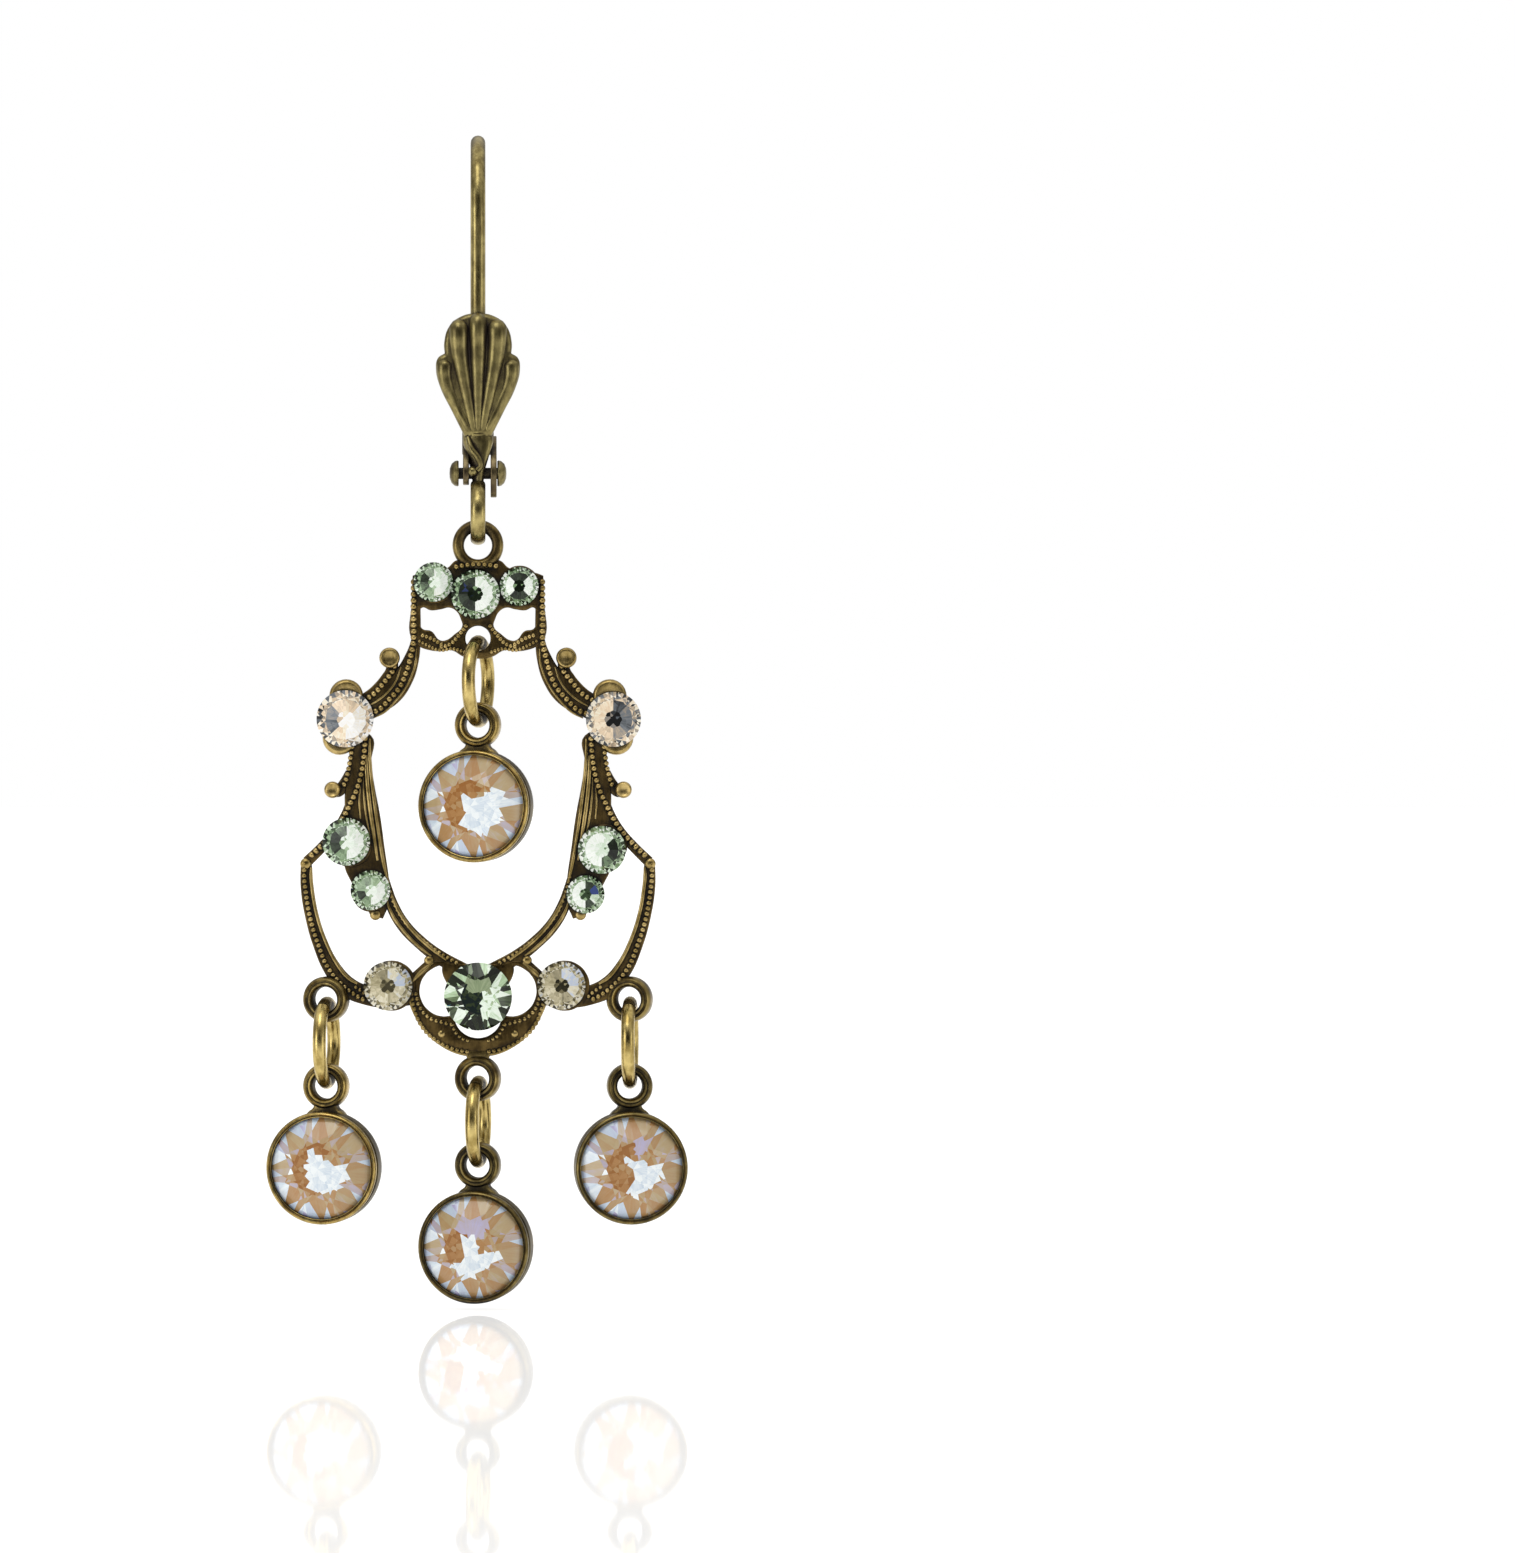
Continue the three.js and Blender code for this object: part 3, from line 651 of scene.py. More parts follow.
HIP_ARM = (
    (7.6, -15.4, 0.6), (7.95, -16.25, 0.64), (8.5, -17.15, 0.64), (9.4, -18.15, 0.62),
    (10.25, -18.98, 0.66),
)
HIP_RAIL = (
    (10.3, -18.98, 0.66), (10.27, -20.5, 0.74), (9.96, -22.3, 0.8), (9.46, -23.9, 0.9),
    (8.74, -25.4, 1.05), (7.8, -26.5, 1.2), (6.7, -27.0, 1.15), (5.4, -27.25, 1.0),
    (4.1, -27.15, 0.9),
)
LINK = ((4.1, -26.2, 0.62), (3.4, -25.55, 0.56), (2.6, -24.9, 0.7))
# The scrolls' flat backs, from the balls down to the shoulder and into the leaf.
SHOULDER_SCROLL = (
    (5.2, -6.8, 0.8), (5.16, -7.4, 0.72), (5.42, -7.98, 0.8), (5.85, -8.55, 0.84),
    (6.4, -9.05, 0.84), (7.1, -9.5, 0.9),
)
LEAF_SCROLL = ((7.7, -13.6, 0.5), (8.02, -14.3, 0.66), (8.4, -14.75, 0.72), (8.8, -14.8, 0.6))
CRESCENT_CENTRE = -26.43
CRESCENT_RADIUS = 4.2
LOBE = (1.95, -26.73, 1.55)
FOOT_LOBE = (0.0, -28.12, 1.45)
CRESCENT_TOP = (
    (4.08, -26.0), (3.6, -25.42), (2.95, -25.02), (2.2, -24.9), (1.5, -25.0), (0.8, -25.1),
)
TAB_EDGE = (
    (0.0, -25.2), (0.9, -25.16), (2.1, -24.95, "corner"), (2.15, -25.6), (1.75, -26.5, "corner"),
    (0.0, -26.7),
)


def circle(x, z, radius):
    """Twelve knots round a circle, in millimetres."""
    turns = [2 * math.pi * index / 12 for index in range(12)]
    return [(x + radius * math.cos(turn), z + radius * math.sin(turn)) for turn in turns]


def duplicate(piece):
    pick(piece)
    bpy.ops.object.duplicate()
    return bpy.context.object


def mirrored(piece):
    """A copy of a piece on the other side of the middle."""
    copy = duplicate(piece)
    copy.scale.x = -1
    placed(copy)
    tidy(copy)
    return copy


def in_frame(piece, front=0.0):
    """Lifts a piece from the origin to the frame, front millimetres before its middle plane."""
    return moved(piece, (0, plane_y - front * MM, ring_z))


def whole(half_edge):
    return list(half_edge) + [(-x, *rest) for x, *rest in reversed(half_edge) if x]


windows = [TOP_WINDOW, [(-x, z) for x, z in TOP_WINDOW], circle(*EYELET)]
grounds = [plate("top_plate", whole(TOP_PLATE_EDGE), GROUND, GROUND_EDGE, windows)]
HALF_EDGES = (
    band_edge(SHOULDER), LEAF_EDGE, band_edge(LOWER_RAIL), band_edge(HIP_ARM), band_edge(HIP_RAIL),
    band_edge(LINK), band_edge(SHOULDER_SCROLL), band_edge(LEAF_SCROLL),
)
# Where two plates cross, one is a hair thinner than the other, so that no two faces coincide.
half_grounds = [
    plate("ground", edge, GROUND - 0.02 * (step + 1), GROUND_EDGE)
    for step, edge in enumerate(HALF_EDGES)
]


def arc(x, z, radius, first, last, steps):
    """Knots along part of a circle, from one angle to another in degrees, with sharp ends."""
    knots = []
    for step in range(steps + 1):
        turn = math.radians(first + (last - first) * step / steps)
        corner = ("corner",) if step in (0, steps) else ()
        knots.append((x + radius * math.cos(turn), z + radius * math.sin(turn), *corner))
    return knots


trefoil = arc(*LOBE, -108, 125, 8)
trefoil += arc(-LOBE[0], LOBE[1], LOBE[2], 55, 288, 8)
trefoil += arc(*FOOT_LOBE, 187, 353, 7)
bowl = arc(0, CRESCENT_CENTRE, CRESCENT_RADIUS, 182, 358, 16)
top = list(CRESCENT_TOP) + [(0.0, -25.12)] + [(-x, z) for x, z in reversed(CRESCENT_TOP)]
grounds.append(plate("crescent", bowl + top, GROUND + 0.02, GROUND_EDGE, [trefoil]))
grounds.append(plate("tab", whole(TAB_EDGE), GROUND + 0.04, GROUND_EDGE))

# Round seats for the glued crystals, as across, up and radius.
SEATS = ((8.05, -10.4, 1.5), (7.65, -18.0, 1.3), (6.45, -20.9, 1.08), (5.2, -26.42, 1.5))
MIDDLE_SEATS = ((-2.6, -2.3, 1.2), (0.0, -2.95, 1.42), (2.5, -2.4, 1.18), (0.0, -27.0, 1.85))
SEAT_THICK = 0.74
for x, z, radius in SEATS:
    half_grounds.append(plate("seat", circle(x, z, radius), SEAT_THICK + 0.02 * radius, 0.12))
for x, z, radius in MIDDLE_SEATS:
    grounds.append(plate("seat", circle(x, z, radius), SEAT_THICK + 0.02 * radius, 0.12))
grounds += half_grounds + [mirrored(piece) for piece in half_grounds]

cast_ground = old_brass("cast_ground", "6b5833", "3f321b", "0f0b05", crevice=0.9, rough=0.36)
cast_raised = old_brass("cast_raised", "bfa76e", "84703f", "171006", crevice=0.4, rough=0.3)
ground = in_frame(joined("frame_ground", grounds))
dress(smooth(ground, 35), "chandelier", cast_ground, "cast_brass", "frame")


def beads(route, size, pitch, front=FACE):
    """A row of beads along a route of (across, up) knots. Sizes are in millimetres."""
    path = line("bead_path", [(x * MM, 0, z * MM) for x, z in route])
    path.data.resolution_u = 12
    deselect()
    bpy.ops.mesh.primitive_uv_sphere_add(segments=8, ring_count=6, radius=size * MM)
    row = bpy.context.object
    row.name = "beads"
    repeat = row.modifiers.new("repeat", "ARRAY")
    repeat.fit_type = "FIT_CURVE"
    repeat.curve = path
    repeat.use_relative_offset = False
    repeat.use_constant_offset = True
    repeat.constant_offset_displace = (pitch * MM, 0, 0)
    follow = row.modifiers.new("follow", "CURVE")
    follow.object = path
    bpy.ops.object.modifier_apply(modifier="repeat")
    bpy.ops.object.modifier_apply(modifier="follow")
    bpy.data.objects.remove(path)
    return moved(row, (0, -front * MM, 0))


def ridge(route, radius):
    """A smooth raised line along a route of (across, up) knots, thinner at its ends."""
    knots = []
    for index, (x, z) in enumerate(route):
        share = 0.6 if index in (0, len(route) - 1) else 1.0
        knots.append((x * MM, -FACE * MM, z * MM, share))
    return rod("ridge", knots, radius * MM, steps=6, around=3)


def knob(x, z, radius, front, dome):
    """A small ball end, rubbed low."""
    return ball("knob", (x * MM, -front * MM, z * MM), radius * MM, (1, dome, 1))


BUTTON = (
    (0.0, -0.2), (0.5, -0.22), (0.76, -0.3), (0.9, -0.26), (1.0, -0.08), (0.98, 0.3), (0.0, 0.3),
)


def button(x, z, radius, front):
    """A scroll's end: a round button with a dished face and straight sides."""
    disc = turned("button", [(r * radius, y) for r, y in BUTTON], 28)
    return moved(disc, (x * MM, -front * MM, z * MM))


# Rows of small beads on the right half: route, bead radius, pitch, and for one row how far its
# beads' middles stand before the frame's middle plane.
BEAD_ROWS = (
    # down the post and round the shoulder's inner side
    (((3.84, -2.2), (3.86, -4.2), (3.87, -5.78), (4.04, -6.65), (4.3, -7.6), (4.73, -8.55),
      (5.34, -9.25), (5.95, -9.85), (6.7, -10.15)), 0.2, 0.37),
    # from the shoulder's scroll down its outer side
    (((5.02, -7.25), (5.1, -7.5), (5.34, -7.86), (5.69, -8.3), (6.04, -8.72), (6.47, -9.08),
      (6.9, -9.3)), 0.18, 0.35),
    # down the middle of the leaf, and down its outer side to the leaf's scroll
    (((6.78, -11.6), (6.8, -12.1), (6.92, -13.2), (7.05, -13.9), (7.3, -14.7), (7.66, -15.5),
      (8.02, -16.25), (8.56, -17.1), (9.4, -18.02), (10.1, -18.68)), 0.18, 0.36, 0.38),
    (((7.55, -12.1), (7.62, -12.6), (7.77, -13.5), (7.92, -14.1), (8.15, -14.6)), 0.16, 0.33),
    # the leafy bars of the top plate
    (((0.72, -4.85), (1.15, -5.4), (1.7, -5.95), (2.3, -6.12)), 0.15, 0.25),
    (((2.2, -5.95), (2.8, -5.6), (3.5, -5.35)), 0.15, 0.25),
    (((0.8, -6.4), (1.5, -6.2), (2.3, -6.28), (3.0, -6.0), (3.6, -5.7)), 0.12, 0.22),
    # the inner edge of the lower rail
    (((5.5, -19.9), (5.35, -20.6), (5.02, -21.5), (4.38, -22.6), (3.4, -23.62), (2.3, -24.46),
      (1.2, -25.1)), 0.13, 0.3),
    # the outer side of the hip rail, round to the swag
    (((10.4, -19.15), (10.42, -19.7), (10.34, -20.6), (10.06, -22.3), (9.58, -23.9),
      (9.0, -25.3), (8.2, -26.3), (7.3, -27.0), (6.7, -27.3)), 0.16, 0.33),
    (((6.62, -27.05), (6.9, -26.8), (7.5, -26.4)), 0.13, 0.3),
    # round the side lobe of the crescent, and along its outer edge
    (((3.75, -26.9), (3.5, -27.7), (2.9, -28.35), (2.1, -28.62), (1.55, -28.75)), 0.14, 0.31),
    (((3.98, -26.9), (3.85, -27.7), (3.35, -28.85), (2.6, -29.62), (1.5, -30.2), (0.4, -30.42)),
     0.15, 0.31),
    (((1.55, -28.75), (1.35, -29.2), (0.95, -29.58), (0.4, -29.78)), 0.12, 0.28),
)
# Smooth ridges on the right half: route, radius.
RIDGES = (
    (((4.62, -7.3), (4.92, -8.15), (5.4, -8.8), (6.0, -9.3), (6.7, -9.7)), 0.08),
    (((3.7, -6.2), (3.74, -7.0), (4.02, -7.9), (4.38, -8.6), (4.92, -9.3), (5.6, -9.98),
      (6.3, -10.36)), 0.08),
    (((6.5, -11.6), (6.48, -13.0), (6.27, -15.0), (6.0, -17.0), (5.7, -18.9), (5.42, -20.2)), 0.12),
    (((6.7, -12.6), (6.68, -13.6), (6.54, -15.2), (6.3, -17.0), (6.02, -18.9)), 0.15),
    (((6.88, -13.9), (6.82, -15.2), (6.64, -16.6), (6.44, -17.6)), 0.08),
    (((7.06, -14.4), (7.12, -15.3), (7.04, -16.4)), 0.08),
    (((5.24, -20.9), (4.72, -22.0), (3.9, -23.15), (2.9, -24.1), (1.9, -24.86)), 0.13),
    (((5.6, -20.9), (5.2, -22.0), (4.5, -23.05), (3.6, -24.0), (2.8, -24.62)), 0.11),
    (((10.0, -19.3), (10.02, -19.8), (9.95, -20.6), (9.66, -22.2), (9.12, -23.8), (8.4, -25.2),
      (7.8, -25.95), (7.25, -26.3)), 0.12),
    (((4.0, -26.2), (3.4, -25.6), (2.7, -25.02)), 0.16),
    (((4.1, -26.2), (4.1, -27.1), (3.72, -28.2), (3.05, -29.2), (2.1, -30.0), (1.0, -30.48),
      (0, -30.6)), 0.1),
)
# Ball ends on the right half: across, up, radius, how far the ball's middle stands out, and its
# depth as a share of its width.
KNOBS = (
    (2.94, -24.9, 0.3, 0.24, 0.6),
    (2.2, -29.3, 0.24, 0.26, 0.7),
    (10.32, -19.1, 0.34, 0.24, 0.6),
    (6.15, -22.15, 0.34, 0.2, 0.6),
)
# The scrolls' ends, and the lobes behind the large side crystal: across, up, radius, and how far
# they stand out.
BUTTONS = (
    (5.3, -6.75, 0.62, 0.4), (8.72, -14.66, 0.5, 0.4), (7.9, -9.05, 1.02, 0.2),
    (8.3, -11.55, 1.02, 0.2),
)
half_raised = [beads(*row) for row in BEAD_ROWS]
half_raised += [ridge(*row) for row in RIDGES]
half_raised += [knob(*row) for row in KNOBS]
half_raised += [button(*row) for row in BUTTONS]

BROW = ((-1.3, -1.3), (-0.6, -1.18), (0.0, -1.15), (0.6, -1.18), (1.3, -1.3))
middle_raised = [beads(BROW, 0.17, 0.34, 0.5)]
raised = half_raised + [mirrored(piece) for piece in half_raised] + middle_raised
dress(
    smooth(in_frame(joined("frame_relief", raised)), 60), "chandelier", cast_raised, "cast_brass"
)

# The hang ring and the three loops are cast with the frame. Each loop has a groove round its face
# and stands turned a little.
HANG_RING = (
    (0.84, -0.2), (0.9, -0.4), (1.02, -0.5), (1.3, -0.52), (1.46, -0.42), (1.53, -0.22),
    (1.53, 0.22), (1.46, 0.42), (1.3, 0.52), (1.02, 0.5), (0.9, 0.4), (0.84, 0.2),
)
LOOP_HALF = (
    (0.76, 0.3), (0.8, 0.5), (0.9, 0.6), (1.0, 0.58), (1.05, 0.5), (1.12, 0.52), (1.2, 0.6),
    (1.3, 0.52), (1.37, 0.3),
)
LOOP_PROFILE = [(r, -y) for r, y in LOOP_HALF] + [(r, y) for r, y in reversed(LOOP_HALF)]
LOOP_TURN = -14
LOOPS = ((-9.1, -27.24), (9.1, -27.24), (0.0, -31.98))
FOOT_NECK = ((-0.8, -30.3, "c"), (0.8, -30.3, "c"), (0.6, -31.0, "c"), (-0.6, -31.0, "c"))
loops = [turned("hang_ring", HANG_RING, 56)]
for x, z in LOOPS:
    loop = turned("loop", LOOP_PROFILE, 56)
    loops.append(moved(loop, (x * MM, 0, z * MM), (0, 0, LOOP_TURN)))
loops.append(plate("foot_neck", FOOT_NECK, 0.8, 0.15))
cast_loop = old_brass("cast_loop", "93814f", "594a2c", "160f08", crevice=0.8, rough=0.32)
dress(smooth(in_frame(joined("frame_loops", loops)), 50), "chandelier", cast_loop, "cast_brass")


# ---------------------------------------------------------------------------------------------
# The glued crystals: round flat-backed lead glass with a mirror foil behind. A ring of eight main
# facets and a ring of narrow rim facets are ground round a small table. Each facet is painted one
# tone for the part of the room it would mirror: painted reflection pale towards the window, and
# painted shade away from it.
# ---------------------------------------------------------------------------------------------
FLAT_BACK_TABLE = 0.7
FLAT_BACK_CUT = ((36, 0.743, 8, 22.5), (47, 0.8, 16, 11.25), (55.1, 0.849, 32, 5.6))
FLAT_BACK_SCORES = ((90, 0.1, 8, 0), (90, 0.47, 8, 0), (90, 0.69, 16, 11.25))
SEAT_FACE = 0.4  # how far the seats' face stands before the frame's middle plane
BACK_GAP = 0.06
# Tones run from the darkest facet to the brightest: each stone's own tint, from painted shade up to
# painted reflection. The first colour is a painted spark of blue fire.
FOIL_TINTS_AND_REFLECTIONS = {
    "mint": ("3f4f86", "10150e", "364431", "749068", "a4bd97", "d0e5ca", "fbfffa"),
    "clear": ("3f4f86", "161614", "727980", "b09f88", "ecd3b2", "f6ecd4", "ffffff"),
    "champagne": ("3f4f86", "1c1b14", "5c5641", "978e6c", "cbc19e", "ebe5cd", "c6d3ea"),
    "moss": ("58c4d8", "080c04", "29371b", "62784f", "98a682", "bcdab0", "f0fcee"),
}
TONE_STOPS = (0.0, 0.05, 0.3, 0.5, 0.72, 0.86, 1.0)
# Place across and up, girdle radius, colour, lean about X and Z in degrees, the table's painted
# reflection tone, and the painted reflection tones of the eight main facets, from the one at the
# upper right round to the lower right.
GLUED = {
    "top_left": (-2.68, -2.2, 1.18, "mint", 3, 5, 0.95, (1, 0.9, 0.4, 0.12, 0.3, 0.6, 1, 1)),
    "top_centre": (-0.15, -2.94, 1.46, "mint", 0, -1, 0.1, (1, 1, 0.1, 0.03, 0.14, 0.1, 1, 1)),
    "top_right": (2.47, -2.46, 1.16, "mint", 0, -1, 0.06, (1, 0.1, 0.12, 1, 1, 0.1, 0.12, 1)),
    "side_left": (-7.97, -10.4, 1.71, "clear", 3, 4, 1, (0.95, 0.7, 0.66, 0.3, 0.22, 0.78, 1, 1)),
    "side_right": (
        8.12, -10.44, 1.65, "clear", 0, -2, 0.06, (0.34, 0.12, 0.72, 0.76, 0.72, 0.66, 0.4, 0.22)
    ),
    "hip_left": (-7.9, -17.77, 1.43, "mint", 3, 4, 0.95, (1, 0.96, 0.3, 0.1, 0.16, 0.5, 1, 1)),
    "hip_right": (7.43, -18.26, 1.43, "mint", -1, -2, 0.9, (0.1, 0.92, 1, 1, 1, 1, 0.36, 0.06)),
    "low_left": (-6.45, -20.68, 1.19, "mint", 2, 4, 0.95, (1, 0.7, 0.4, 0.5, 0.14, 0.5, 1, 1)),
    "low_right": (6.45, -20.93, 1.14, "mint", -1, -2, 0.3, (0.0, 0.2, 0.95, 1, 1, 1, 0.2, 0.86)),
    "swag_left": (
        -5.4, -26.42, 1.46, "champagne", -2, 0, 0.2, (1, 0.86, 0.42, 0.56, 0.66, 0.76, 0.62, 0.78)
    ),
    "swag_right": (
        5.0, -26.4, 1.44, "champagne", -2, 0, 0.1, (1, 0.97, 0.44, 0.58, 0.7, 0.6, 0.5, 0.86)
    ),
}


def blank(name, front, back):
    """A round glass blank of radius 1 about the Y axis."""
    deselect()
    bpy.ops.mesh.primitive_cylinder_add(
        vertices=72,
        radius=1.0,
        depth=back - front,
        location=(0, (front + back) / 2, 0),
        rotation=(math.pi / 2, 0, 0),
    )
    piece = placed(bpy.context.object)
    piece.name = name
    return piece


def grind(piece, cuts, away=True):
    """Cuts flat facets. Each row is how far they lean from the girdle's plane in degrees, how far
    their planes stand from the middle, how many there are, and the angle of the first."""
    pick(piece)
    bpy.ops.object.mode_set(mode="EDIT")
    for lean, distance, count, first in cuts:
        for index in range(count):
            spin = math.radians(first + 360 * index / count)
            tip = math.radians(lean)
            normal = Vector(
                (math.sin(tip) * math.cos(spin), -math.cos(tip), math.sin(tip) * math.sin(spin))
            )
            bpy.ops.mesh.select_all(action="SELECT")
            bpy.ops.mesh.bisect(
                plane_co=normal * distance, plane_no=normal, use_fill=away, clear_outer=away
            )
    bpy.ops.object.mode_set(mode="OBJECT")
    return piece


def mapped(piece):
    """Lays a flat map over a blank, from the front. 0.5 is its middle, and 0 and 1 its edges."""
    plan = piece.data.uv_layers.new(name="plan")
    for corner, loop in zip(plan.data, piece.data.loops):
        place = piece.data.vertices[loop.vertex_index].co
        corner.uv = (place.x / 2 + 0.5, place.z / 2 + 0.5)
    return piece


def copy_of(piece, name, radius):
    copy = duplicate(piece)
    copy.name = name
    copy.scale = (radius * MM,) * 3
    return placed(copy)


def crystal(name, tones, streaks=0.2):
    """Foiled glass with painted reflections. Each facet's tone picks its colour, from painted shade
    up to painted reflection, and faint painted rays run out from the middle.
    """
    finish = Finish(bpy.data.materials.new(name))
    tone = finish.node("ShaderNodeAttribute", {"attribute_name": "tone"}, output="Fac")
    plan = finish.node("ShaderNodeUVMap", {"uv_map": "plan"})
    split = finish.node("ShaderNodeSeparateXYZ", None, {"Vector": plan})
    u, v = (Wire(finish.tree, socket) - 0.5 for socket in split.socket.node.outputs[:2])
    turn = v.math("ARCTAN2", v, u)
    out = (u * u + v * v).math("SQRT", u * u + v * v)
    ray_place = finish.node(
        "ShaderNodeCombineXYZ", None, {"X": turn * 9, "Y": out * 3, "Z": tone * 9}
    )
    rays = finish.node(
        "ShaderNodeTexNoise",
        None,
        {"Vector": ray_place, "Scale": 1.6, "Detail": 3.0, "Roughness": 0.65},
    )
    cloud = finish.noise(0.5 * MM, 2.0)
    # Painted reflection and shade: the facet's tone, broken up by faint rays and cloud.
    shade = tone + ((rays - 0.5) * 2 * streaks + (cloud - 0.5) * 0.08) * tone.ramp(0.05, 0.12)
    stops = [(place, colour(value)) for place, value in zip(TONE_STOPS, tones)]
    tint = finish.node("ShaderNodeValToRGB", {"stops": stops}, {"Fac": shade})
    return finish.surface(
        Base_Color=tint,
        Roughness=0.08 + 0.1 * rays,
        Coat_Weight=0.3 + 0.7 * tone.ramp(0.1, 0.5),
        Coat_Roughness=0.02,
        Specular_IOR_Level=0.1,
    )


def tone_by(piece, radius, rule):
    """Writes each facet's tone, which sets its painted reflection and shade, from its place across
    and up as shares of the radius.
    """
    tones = piece.data.attributes.new("tone", "FLOAT", "FACE")
    for index, face in enumerate(piece.data.polygons):
        x, z = face.center.x / radius / MM, face.center.z / radius / MM
        tones.data[index].value = rule(x, z, face.normal.y > -0.05, index)


# Steps that break up the painted reflection tone from facet to facet.
RIM_FLICKER = (0.0, 0.42, -0.3, 0.24, -0.36, 0.5, -0.12, 0.34, -0.4, 0.12, 0.48, -0.24, 0.06)


def painted_foil_reflections(table, mains):
    """The rule for a flat-back's painted reflections: its table, its eight main facets, and a rim
    of painted broken light.
    """

    def rule(x, z, behind, index):
        out = math.hypot(x, z)
        turn = math.atan2(z, x) / math.tau % 1
        flicker = RIM_FLICKER[index * 7 % len(RIM_FLICKER)]
        if behind:
            return 0.35
        main = mains[int(turn * 8)]
        if out < 0.28:
            return table if out < 0.14 or index % 3 else (table + main) / 2
        if out < 0.7:
            return min(1.0, max(main * 0.9, main + flicker * 0.16)) if main else 0.0
        broken = 0.54 + 0.34 * (main - 0.5) + flicker * (1.1 if out > 0.8 else 0.6)
        return min(1.0 if main > 0.9 else 0.88, max(0.08, broken))

    return rule


flat_back = grind(blank("flat_back", -FLAT_BACK_TABLE, 0.0), FLAT_BACK_CUT)
grind(flat_back, FLAT_BACK_SCORES, away=False)
mapped(flat_back)
crystals = {tint: crystal(f"{tint}_crystal", tones) for tint, tones in FOIL_TINTS_AND_REFLECTIONS.items()}
for name, (x, z, radius, tint, lean, tilt, table, mains) in GLUED.items():
    stone = copy_of(flat_back, f"stone_{name}", radius)
    tone_by(stone, radius, painted_foil_reflections(table, mains))
    moved(stone, turn=(lean, 0, tilt))
    sink = (abs(math.sin(math.radians(tilt))) + abs(math.sin(math.radians(lean)))) * radius
    in_frame(moved(stone, (x * MM, 0, z * MM)), SEAT_FACE + BACK_GAP + sink * 0.6)
    dress(stone, "chandelier", crystals[tint], f"{tint}_crystal", f"crystal_{name}")
bpy.data.objects.remove(flat_back)

# The large middle crystal and the drops' crystals are full round brilliants. Their tables are
# scored with the star that the pavilion behind them shows through the glass, so that its painted
# light and shade can follow it.
ROUND_TABLE = 0.38
ROUND_BACK = 0.62
ROUND_CUT = ((38, 0.632, 8, 0), (24, 0.545, 8, 22.5), (46, 0.742, 16, 11.25))
PAVILION_CUT = ((141, 0.632, 8, 0), (135, 0.712, 16, 11.25))
STAR_SCORES = ((90, 0.0, 8, 11.25), (90, 0.14, 8, 11.25), (90, 0.28, 8, 0), (90, 0.42, 8, 22.5))
full_cut = grind(blank("full_cut", -ROUND_TABLE, ROUND_BACK), ROUND_CUT + PAVILION_CUT)
grind(full_cut, STAR_SCORES, away=False)
mapped(full_cut)


def moss_rule(x, z, behind, index):
    """The rule for the middle crystal's painted reflections: a pale painted wedge at its right, and
    painted broken light elsewhere.
    """
    out = math.hypot(x, z)
    if behind:
        return 0.3
    if abs(x - 0.02) < 0.34 and 0.14 < z < 0.52:
        return 0.66
    if x > 0.12 and -0.66 < z < 0.3 and out < 0.74:
        return 1.0 if index % 4 else 0.8
    if out < 0.5:
        return 0.05 if index % 3 else 0.26
    if x < -0.6 and -0.6 < z < -0.2 and index % 5 == 0:
        return 0.0
    return (0.08, 0.95, 0.16, 0.5, 0.06, 0.82, 0.24, 0.1, 1.0, 0.34, 0.12)[index * 7 % 11]


CENTRE_RADIUS = 2.03
CENTRE_Z = -27.0
centre = copy_of(full_cut, "stone_centre", CENTRE_RADIUS)
tone_by(centre, CENTRE_RADIUS, moss_rule)
in_frame(moved(centre, (0, 0, CENTRE_Z * MM)), SEAT_FACE + ROUND_BACK * CENTRE_RADIUS + 0.03)
dress(centre, "chandelier", crystals["moss"], "moss_crystal", "crystal_centre")


# ---------------------------------------------------------------------------------------------
# The jump rings: round brass wire, cut and bent shut, so each has a hair-thin gap near its front.
# Each passes through a loop of the frame and the loop of its setting.
# ---------------------------------------------------------------------------------------------
LINK_RADIUS = 2.37
LINK_WIRE = 0.41
LINK_DROP = 2.6  # from a hole's centre down to its ring's centre, and on to the setting's loop
DROPS = {
    # turn of the ring and turn of the setting, in degrees about Z, and the setting's brass
    "middle": (-14, -12, "gold"),
    "left": (-9, -12, "gold"),
    "foot": (-9, -12, "olive"),
    "right": (-4, 4, "olive"),
}
GAP_PLACE = 62  # degrees round the ring from its front
HALF_GAP = 1.2

link_brass = old_brass(
    "link_brass", "cfb977", "9a854c", "33270f", crevice=0.4, rough=0.24, wear=0.7
)
link_centres = {}
for name, (link_turn, turn, brass) in DROPS.items():
    low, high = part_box(f"jump_ring_{name}")
    link_centres[name] = (low + high) / 2
    first = math.radians(GAP_PLACE)
    route = []
    for step in range(25):
        turn_here = first + math.radians(HALF_GAP + step * (360 - 2 * HALF_GAP) / 24)
        bump = 1 + 0.006 * math.sin(5 * turn_here + len(name))
        route.append(
            (
                0.03 * MM * math.sin(turn_here * 0.5),
                -LINK_RADIUS * bump * MM * math.cos(turn_here),
                LINK_RADIUS * bump * MM * math.sin(turn_here),
            )
        )
    link = rod(f"link_{name}", route, LINK_WIRE * MM, steps=4, around=5)
    moved(link, turn=(0, 0, link_turn))
    moved(link, link_centres[name])
    dress(smooth(link, 50), "chandelier", link_brass, "link_brass", f"jump_ring_{name}")
